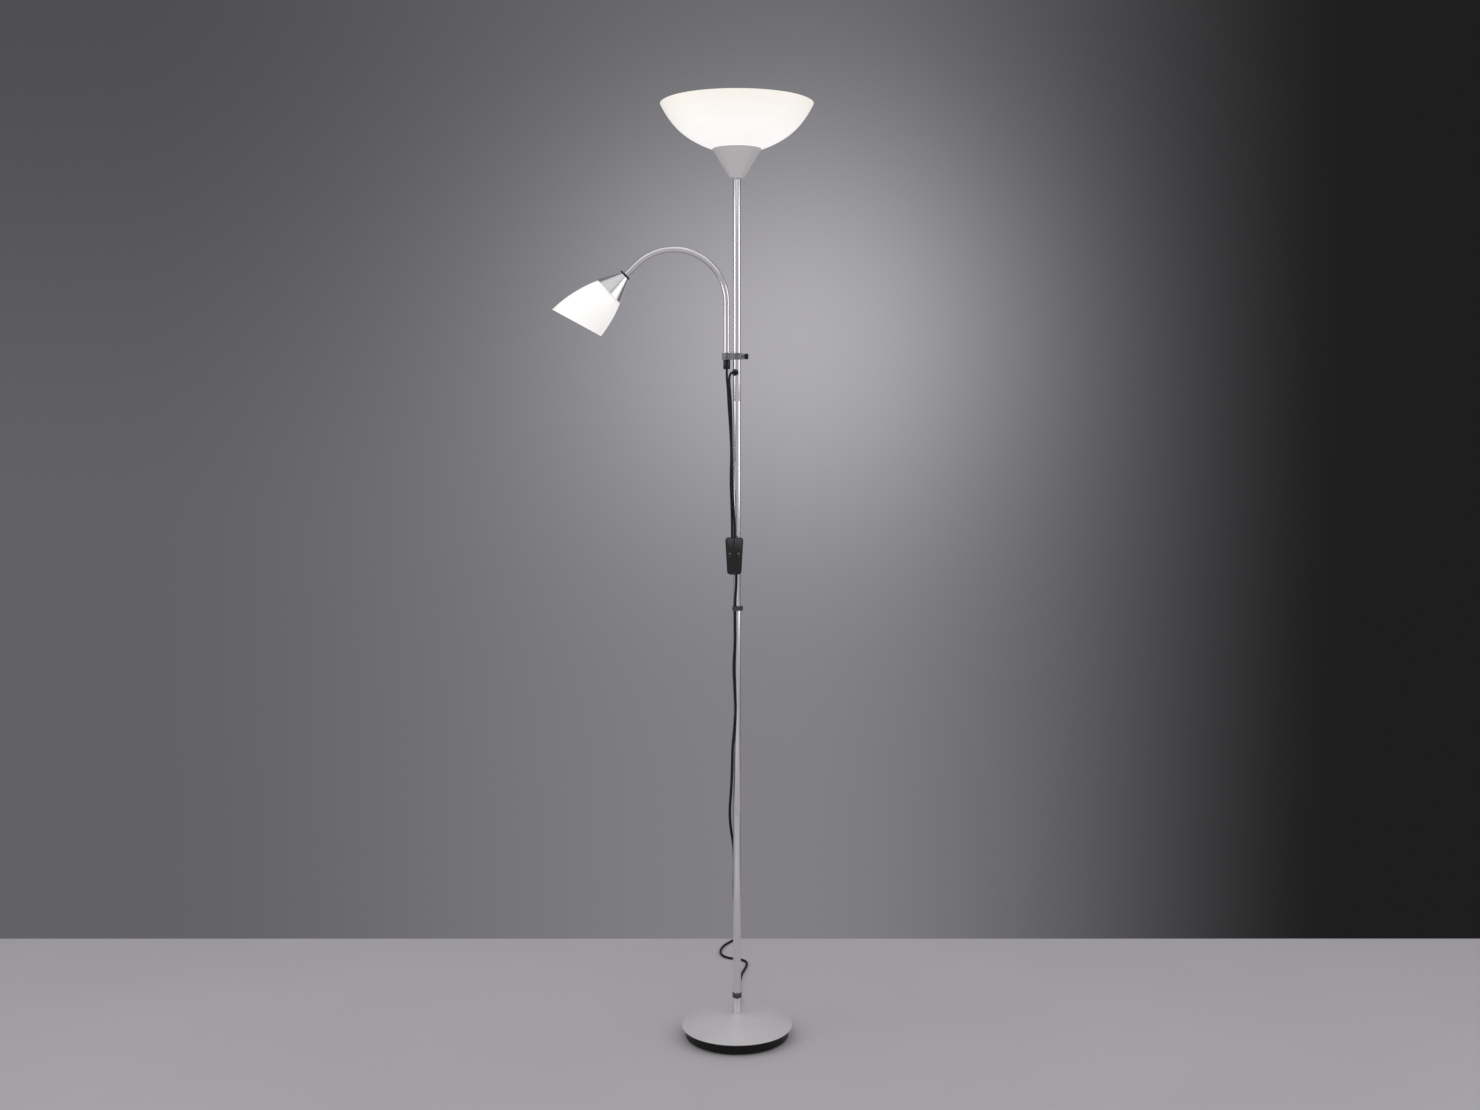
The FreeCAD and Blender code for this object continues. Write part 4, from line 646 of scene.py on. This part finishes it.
# ---------------------------------------------------------------- reading arm
ARM_AXIS = -19.3
ARM_RADIUS = 6.0
ARM_BORE = 3.3
ARM_SIDES = 32
STEM_FOOT = 1322.55
STEM_TOP = 1430.0
# The stop ring's foot, top and radius
STOP_RING = (1335.45, 1338.45, 7.6)
THREAD_RADIUS = 4.95
THREAD_LENGTH = 12.0
ARM_EDGE = 0.4
ARC_RADIUS = 100.0 * MM
ARC_CENTRE = Vector((ARM_AXIS * MM - ARC_RADIUS, 0, STEM_TOP * MM))
ARM_SWEEP = 134.0
LINK_COUNT = 6
LINK_TURN = ARM_SWEEP / LINK_COUNT
ARM_END_LENGTH = 28.6
BEND_STEPS = 14
ARM_BODIES = ["arm", "link_1", "link_2", "link_3", "link_4", "link_5", "reading_head"]


def arc_point(degrees):
    """Point of the arm's middle line at an angle of the arc."""
    angle = math.radians(degrees)
    return ARC_CENTRE + Vector((math.cos(angle), 0, math.sin(angle))) * ARC_RADIUS


def arc_frame(degrees):
    """Placement at an angle of the arc, with its own Z along the arm."""
    return Matrix.Translation(arc_point(degrees)) @ Matrix.Rotation(-math.radians(degrees), 4, "Y")


def bent_tube(name, start, end, hinged):
    """A stretch of the arm that follows the arc, with a ball that keeps the hinge at its start closed."""
    bm = bmesh.new()
    bmesh.ops.create_circle(bm, segments=ARM_SIDES, radius=ARM_RADIUS * MM, cap_ends=True,
                            matrix=arc_frame(start))
    bmesh.ops.spin(bm, geom=bm.verts[:] + bm.edges[:] + bm.faces[:], cent=ARC_CENTRE, axis=(0, -1, 0),
                   angle=math.radians(end - start), steps=BEND_STEPS, use_duplicate=False)
    if hinged:
        bmesh.ops.create_uvsphere(bm, u_segments=ARM_SIDES, v_segments=ARM_SIDES // 2,
                                  radius=ARM_RADIUS * MM, matrix=arc_frame(start))
    return mesh_piece(name, bm)


ring_foot, ring_top, ring_radius = STOP_RING
stem = turned("arm_stem_tube", [
    (ARM_BORE, STEM_FOOT), (ARM_RADIUS - 0.3, STEM_FOOT), (ARM_RADIUS, STEM_FOOT + 0.35),
    (ARM_RADIUS, ring_foot), (ring_radius - 0.4, ring_foot), (ring_radius, ring_foot + 0.45),
    (ring_radius, ring_top - 0.45), (ring_radius - 0.4, ring_top), (ARM_RADIUS, ring_top),
    (ARM_RADIUS, STEM_TOP), (ARM_BORE, STEM_TOP)], steps=ARM_SIDES,
    where=Matrix.Translation((ARM_AXIS * MM, 0, 0)))
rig.replaces(stem, "arm_stem")
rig.ride(stem, "arm")

hinges = [LINK_TURN * (index + 0.5) for index in range(LINK_COUNT)]
bends = []
for index, (body, start, end) in enumerate(zip(ARM_BODIES, [0.0] + hinges, hinges + [ARM_SWEEP])):
    bend = bent_tube("arm_bend_tube_%d" % index, start, end, index > 0)
    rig.ride(bend, body)
    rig.replaces(bend, "arm_link_%d" % index if index else "arm_stem")
    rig.slot(bend, "arm_metal")
    bends.append(bend)

arm_end = turned("arm_end_tube", [
    (ARM_BORE, 0), (ARM_RADIUS, 0), (ARM_RADIUS, ARM_END_LENGTH - ARM_EDGE),
    (ARM_RADIUS - ARM_EDGE, ARM_END_LENGTH), (ARM_BORE, ARM_END_LENGTH)],
    steps=ARM_SIDES, where=arc_frame(ARM_SWEEP))
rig.ride(arm_end, "reading_head")
thread_end = ARM_END_LENGTH + THREAD_LENGTH
nipple = turned("arm_end_thread", [
    (ARM_BORE, ARM_END_LENGTH), (THREAD_RADIUS, ARM_END_LENGTH), (THREAD_RADIUS, thread_end),
    (ARM_BORE, thread_end)], steps=ARM_SIDES, where=arc_frame(ARM_SWEEP))
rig.ride(nipple, "reading_head")
dress([piece.name for piece in [stem, arm_end] + bends], "arm_metal")
dress([nipple.name], "steel")
for piece in (stem, arm_end):
    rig.slot(piece, "arm_metal")
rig.slot(nipple, "steel")


# ---------------------------------------------------------------- rounded small parts
# Node, width of its rounding in millimetres, slot and finish
for node, width, slot, finish in (
    ("clamp_body", 0.8, "clear_plastic", "clamp_plastic"),
    ("clamp_screw", 0.5, "black_plastic", "black_plastic"),
    ("arm_relief", 0.5, "black_plastic", "black_plastic"),
    ("head_collar", 0.4, "black_plastic", "black_plastic"),
    ("head_screw", 0.3, "black_plastic", "black_plastic"),
    ("cable_clip_upper", 0.4, "clip_plastic", "clip_plastic"),
    ("cable_clip_lower", 0.4, "clip_plastic", "clip_plastic"),
    ("rocker_left", 0.4, "switch_plastic", "rocker_plastic"),
    ("rocker_right", 0.4, "switch_plastic", "rocker_plastic"),
    ("switch_front", 0.25, "switch_plastic", "switch_plastic"),
    ("switch_back", 0.25, "switch_plastic", "switch_plastic"),
    ("coil_tie", 0.25, "tie_plastic", "tie_plastic"),
):
    piece = softened(node, width)
    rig.slot(piece, slot)
    dress([piece.name], finish)


GROMMET_HEIGHT = 1.2988
GROMMET_TURN = -30.0
GROMMET_SHARP_ANGLE = 50
# The grommet's own Z points out of the pole, along the cord that leaves it
grommet_place = Matrix.Translation((0, 0, GROMMET_HEIGHT))
grommet_place @= Matrix.Rotation(math.radians(GROMMET_TURN), 4, "Z")
grommet_place @= Matrix.Rotation(math.radians(90), 4, "X")

grommet = turned("pole_grommet_dome", [
    (2.0, 4.1), (6.3, 4.1), (6.4, 4.6), (6.4, 7.6), (6.15, 8.9), (5.5, 9.8), (4.3, 10.35), (2.7, 10.5),
    (2.0, 10.5)], steps=48, where=grommet_place, smooth_angle=GROMMET_SHARP_ANGLE)
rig.replaces(grommet, "pole_grommet")
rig.ride(grommet, "root")
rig.slot(grommet, "black_plastic")
dress([grommet.name], "black_plastic")


# ---------------------------------------------------------------- plug
PLUG_TAIL = 30.0
TAIL_BORE = 2.62
TAIL_START_RADIUS = 3.1
TAIL_END_RADIUS = 5.7
TAIL_RINGS = 5
FIRST_RING = 2.4
RING_STEP = 4.6
PLUG_GRIP = (27.0, 19.0, 26.0)
GRIP_CORNER = 5.7
PLUG_SIDES = 24
GRIP_EDGE = 0.25
GRIP_EDGE_ANGLE = 50
GRIP_SHARP_ANGLE = 35
GROOVE_START = 5.0
GROOVE_STEP = 1.5
GROOVE_ROWS = 12
GROOVE_DEPTH = 0.8
GROOVE_BORDER = 0.3
PIN_LENGTH = 19.0
PLUG_PIN_END = PLUG_TAIL + PLUG_GRIP[2] + PIN_LENGTH
PIN_OFFSET = 9.5
PIN_RADIUS = 2.0
SLEEVE_RADIUS = 1.9
SLEEVE_LENGTH = 10.4
# How far the tail and the pins' sleeves reach into the grip
GRIP_OVERLAP = 0.5
# How far a pin reaches into its sleeve
PIN_OVERLAP = 0.1
# The plug's own Z runs from the cord's end along the pins
plug_place = Matrix.Translation(Vector(LEAD_END) * MM) @ Matrix.Rotation(math.radians(-90), 4, "X")


def plug_tail():
    """Tapered tail with moulded rings that let it bend."""
    outline = [(TAIL_BORE, 0.0), (TAIL_START_RADIUS, 0.0)]
    for ring in range(TAIL_RINGS):
        foot = FIRST_RING + RING_STEP * ring
        wide = TAIL_START_RADIUS + (TAIL_END_RADIUS - TAIL_START_RADIUS) * foot / PLUG_TAIL
        outline += [(wide, foot), (wide - 0.75, foot + 0.35), (wide - 0.65, foot + 1.9),
                    (wide + 0.2, foot + 2.3)]
    tail_end = PLUG_TAIL + GRIP_OVERLAP
    return turned("plug_tail", outline + [(TAIL_END_RADIUS, tail_end), (TAIL_BORE, tail_end)], steps=40,
                  where=plug_place, smooth_angle=40)


def plug_grip():
    """Flat grip with rounded sides and finger grooves in both broad faces."""
    bm = bmesh.new()
    bmesh.ops.create_cube(bm, size=1.0)
    bmesh.ops.scale(bm, vec=[side * MM for side in PLUG_GRIP], verts=bm.verts[:])
    bmesh.ops.translate(bm, vec=(0, 0, (PLUG_TAIL + PLUG_GRIP[2] / 2) * MM), verts=bm.verts[:])
    sides = [edge for edge in bm.edges if abs(edge.verts[0].co.z - edge.verts[1].co.z) > 10 * MM]
    bmesh.ops.bevel(bm, geom=sides, offset=GRIP_CORNER * MM, offset_type="OFFSET", affect="EDGES",
                    segments=8, profile=0.5, material=-1)
    grooves = []
    for row in range(GROOVE_ROWS):
        height = (PLUG_TAIL + GROOVE_START + GROOVE_STEP * row) * MM
        bmesh.ops.bisect_plane(bm, geom=bm.verts[:] + bm.edges[:] + bm.faces[:], plane_co=(0, 0, height),
                               plane_no=(0, 0, 1), dist=MERGE_DISTANCE)
        if row % 2:
            grooves.append(height - GROOVE_STEP / 2 * MM)
    bm.normal_update()
    cut = [face for face in bm.faces if abs(face.normal.y) > 0.99
           and any(abs(face.calc_center_median().z - height) < 0.4 * MM for height in grooves)]
    bmesh.ops.inset_individual(bm, faces=cut, thickness=GROOVE_BORDER * MM, depth=-GROOVE_DEPTH * MM)
    bmesh.ops.transform(bm, matrix=plug_place, verts=bm.verts[:])
    grip = mesh_piece("plug_grip", bm, GRIP_SHARP_ANGLE)
    add_rounding(grip, GRIP_EDGE, GRIP_EDGE_ANGLE)
    return grip


plug_pieces = [plug_tail(), plug_grip()]
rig.replaces(plug_pieces[0], "plug_body")
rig.replaces(plug_pieces[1], "plug_body")
dress([piece.name for piece in plug_pieces], "plug_plastic")
sleeve_foot = PLUG_TAIL + PLUG_GRIP[2] - GRIP_OVERLAP
sleeve_top = sleeve_foot + SLEEVE_LENGTH
pin_foot = sleeve_top - PIN_OVERLAP
for side, label in ((-1, "left"), (1, "right")):
    beside = plug_place @ Matrix.Translation((side * PIN_OFFSET * MM, 0, 0))
    sleeve = turned("plug_sleeve_" + label, [
        (0, sleeve_foot), (SLEEVE_RADIUS, sleeve_foot), (SLEEVE_RADIUS, sleeve_top - 0.3),
        (SLEEVE_RADIUS - 0.15, sleeve_top), (0, sleeve_top)], steps=PLUG_SIDES, where=beside)
    pin = turned("plug_pin_" + label, [
        (0, pin_foot), (PIN_RADIUS, pin_foot), (PIN_RADIUS, PLUG_PIN_END - 1.4),
        (PIN_RADIUS - 0.25, PLUG_PIN_END - 0.6), (PIN_RADIUS - 0.8, PLUG_PIN_END - 0.1),
        (0, PLUG_PIN_END)], steps=PLUG_SIDES, where=beside, smooth_angle=50)
    dress([sleeve.name], "plug_plastic")
    dress([pin.name], "steel")
    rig.replaces(pin, "plug_pins")
    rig.replaces(sleeve, "plug_pins")
    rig.slot(pin, "steel")
    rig.slot(sleeve, "cord_rubber")
    plug_pieces += [sleeve, pin]
for piece in plug_pieces:
    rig.ride(piece, "root")
for piece in plug_pieces[:2]:
    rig.slot(piece, "cord_rubber")
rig.cord(mains_lead, exit=lead_route[0], length=2.29, diameter=LEAD, far_end="plug", stiffness="medium",
        lay="loose", path=mains_lead_path, with_pieces=plug_pieces)


# ---------------------------------------------------------------- finishes of the CAD's own pieces
dress([mains_lead.name, pole_cord.name, arm_cord.name, "inner_wire"], "cord_rubber")
dress(["base_cover"], "turned_metal")
# The holder cone takes the paler copy of the silver paint, as painted light against the bowl's shade
dress(["holder_cone"], "cone_metal")
dress(["head_cone"], "head_metal")
dress(["base_tray"], "tray_plastic")
dress(["base_feet", "base_nut_cap"], "foot_rubber")
dress(["base_weight"], "iron")
dress(["base_washer", "base_nut", "base_stud", "pole_foot_insert", "pole_couplers", "pole_top_insert",
       "uplight_nipple", "uplight_locknut", "switch_screws"], "steel")
dress(["uplight_lampholder", "uplight_ring", "head_lampholder", "head_ring"], "lampholder_plastic")
dress(["uplight_screw_shell", "head_screw_shell", "switch_terminals"], "brass")
dress(["uplight_bulb", "head_bulb"], "bulb_glass")
dress(["uplight_shade"], "uplight_opal")
dress(["head_shade"], "reading_opal")


# ---------------------------------------------------------------- floor, wall and lights
WALL_Y = 0.590
# The floor is painted paler between these places in Y, below the picture's lower edge: painted light that it throws
# back onto the lamp
FLOOR_BLEND = (-2.2, -0.7)
# Between these places in X the wall's grey rises and then falls off, and in Z it falls off upwards: painted light and
# painted shade on the wall
WALL_RISE_ACROSS = (-1.4, 0.1)
WALL_FALL_ACROSS = (0.1, 1.4)
WALL_FALL_UP = (0.9, 2.2)
# The pool of light's middle and size, across and up
POOL_MIDDLE = (0.16, 1.43)
POOL_SIZE = (0.52, 0.45)
# The wall's brightness: everywhere, what its left adds, what its middle adds to that, and the pool
WALL_DARKEST = 0.013
WALL_LEVEL = 0.11
WALL_RISE = 0.095
POOL_LEVEL = 0.24
# The share of painted shade that the wall loses at its top, and that the pool loses at the right
TOP_LOSS = 0.42
RIGHT_LOSS = 0.7
WORLD_COLOUR = (0.60, 0.60, 0.61, 1.0)
WORLD_STRENGTH = 0.66


def panel(name, corner, across, up):
    """Flat stage panel from a corner and its two sides."""
    bm = bmesh.new()
    corner, across, up = Vector(corner), Vector(across), Vector(up)
    corners = [bm.verts.new(corner + across * a + up * b) for a, b in ((0, 0), (1, 0), (1, 1), (0, 1))]
    bm.faces.new(corners)
    mesh = bpy.data.meshes.new(name)
    bm.to_mesh(mesh)
    bm.free()
    stage_piece = place(name, mesh)
    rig.stage(stage_piece)
    return stage_piece


def floor_finish():
    """Grey floor with a fine grain, painted paler below the picture's lower edge as painted light thrown back onto the
    lamp.
    """
    finish = Finish("floor_finish", Roughness=0.75)
    grain = finish.noise(3, 3, 0.6)
    broad = finish.noise(500, 2, 0.5)
    shade = broad.between(0.3, 0.7) * 0.4 + (grain - 0.5) * 0.2
    seen_floor = finish.mix(shade, (0.52, 0.497, 0.522), (0.56, 0.537, 0.562))
    # Painted light: the floor is paler towards the front so that it lights the lamp more
    colour = finish.mix(finish.along("Y").between(*FLOOR_BLEND), (0.86, 0.83, 0.86), seen_floor)
    return finish.surface(Base_Color=colour)


def wall_finish():
    """Grey wall seen only from the front, with a soft painted pool of light behind the lamp and painted shade that
    darkens it to the right and towards the top.
    """
    finish = Finish("wall_finish")
    across = finish.along("X")
    height = finish.along("Z")
    fall = across.between(*WALL_FALL_ACROSS)
    upper = height.between(*WALL_FALL_UP)
    aside = (across - POOL_MIDDLE[0]) / POOL_SIZE[0]
    above = (height - POOL_MIDDLE[1]) / POOL_SIZE[1]
    spread = aside ** 2.0 + above ** 2.0
    pool = finish.node("ShaderNodeMath", {"operation": "EXPONENT"}, {0: spread * -1.0})
    grey = across.between(*WALL_RISE_ACROSS) * WALL_RISE + WALL_LEVEL
    # Painted shade: the wall's grey darkens towards the right and towards the top
    plain = grey * (1 - fall) * (1 - upper * TOP_LOSS)
    level = plain + pool * (1 - fall * RIGHT_LOSS) * POOL_LEVEL + WALL_DARKEST
    colour = finish.mix(level, (0.0, 0.0, 0.0), (1.0, 0.975, 1.04))
    glow = finish.node("ShaderNodeEmission", {}, {"Color": colour, "Strength": 1.0})
    clear = finish.node("ShaderNodeBsdfTransparent")
    behind = finish.node("ShaderNodeNewGeometry", output="Backfacing")
    seen = finish.node("ShaderNodeMixShader", {}, {0: behind, 1: glow, 2: clear})
    finish.tree.links.new(seen.socket, finish.output.inputs[0])
    return finish.material


floor = panel("stage_floor", (-8, -10, 0), (16, 0, 0), (0, 18, 0))
floor.data.materials.append(floor_finish())
wall = panel("stage_wall", (-2, WALL_Y, 0), (4, 0, 0), (0, 0, 4))
wall.data.materials.append(wall_finish())
wall.visible_shadow = False
wall.visible_diffuse = False


def area_lamp(name, centre, target, width, height, power):
    """Flat lamp that faces a place."""
    data = bpy.data.lights.new(name, "AREA")
    data.shape = "RECTANGLE"
    data.size = width
    data.size_y = height
    data.energy = power
    lamp = bpy.data.objects.new(name, data)
    bpy.context.scene.collection.objects.link(lamp)
    lamp.location = centre
    lamp.rotation_euler = (Vector(target) - Vector(centre)).to_track_quat("-Z", "Y").to_euler()


area_lamp("left_strip", centre=(-2.08, -0.93, 1.65), target=(0, 0, 1.65), width=1.7, height=1.5, power=10.5)
area_lamp("right_strip", centre=(2.17, -0.70, 1.65), target=(0, 0, 1.65), width=1.7, height=1.5, power=10.5)
area_lamp("overhead", centre=(0.0, -3.0, 3.9), target=(0, -3.0, 0), width=6.0, height=9.0, power=68)

world = bpy.data.worlds.new("studio")
bpy.context.scene.world = world
world.use_nodes = True
world.node_tree.nodes["Background"].inputs["Color"].default_value = WORLD_COLOUR
world.node_tree.nodes["Background"].inputs["Strength"].default_value = WORLD_STRENGTH

bpy.context.scene.view_settings.view_transform = "Standard"

with open("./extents.json", "w") as size_file:
    json.dump({"cad": [list(corner) for corner in cad_box], "visual": [list(corner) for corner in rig.bounds()]},
              size_file)
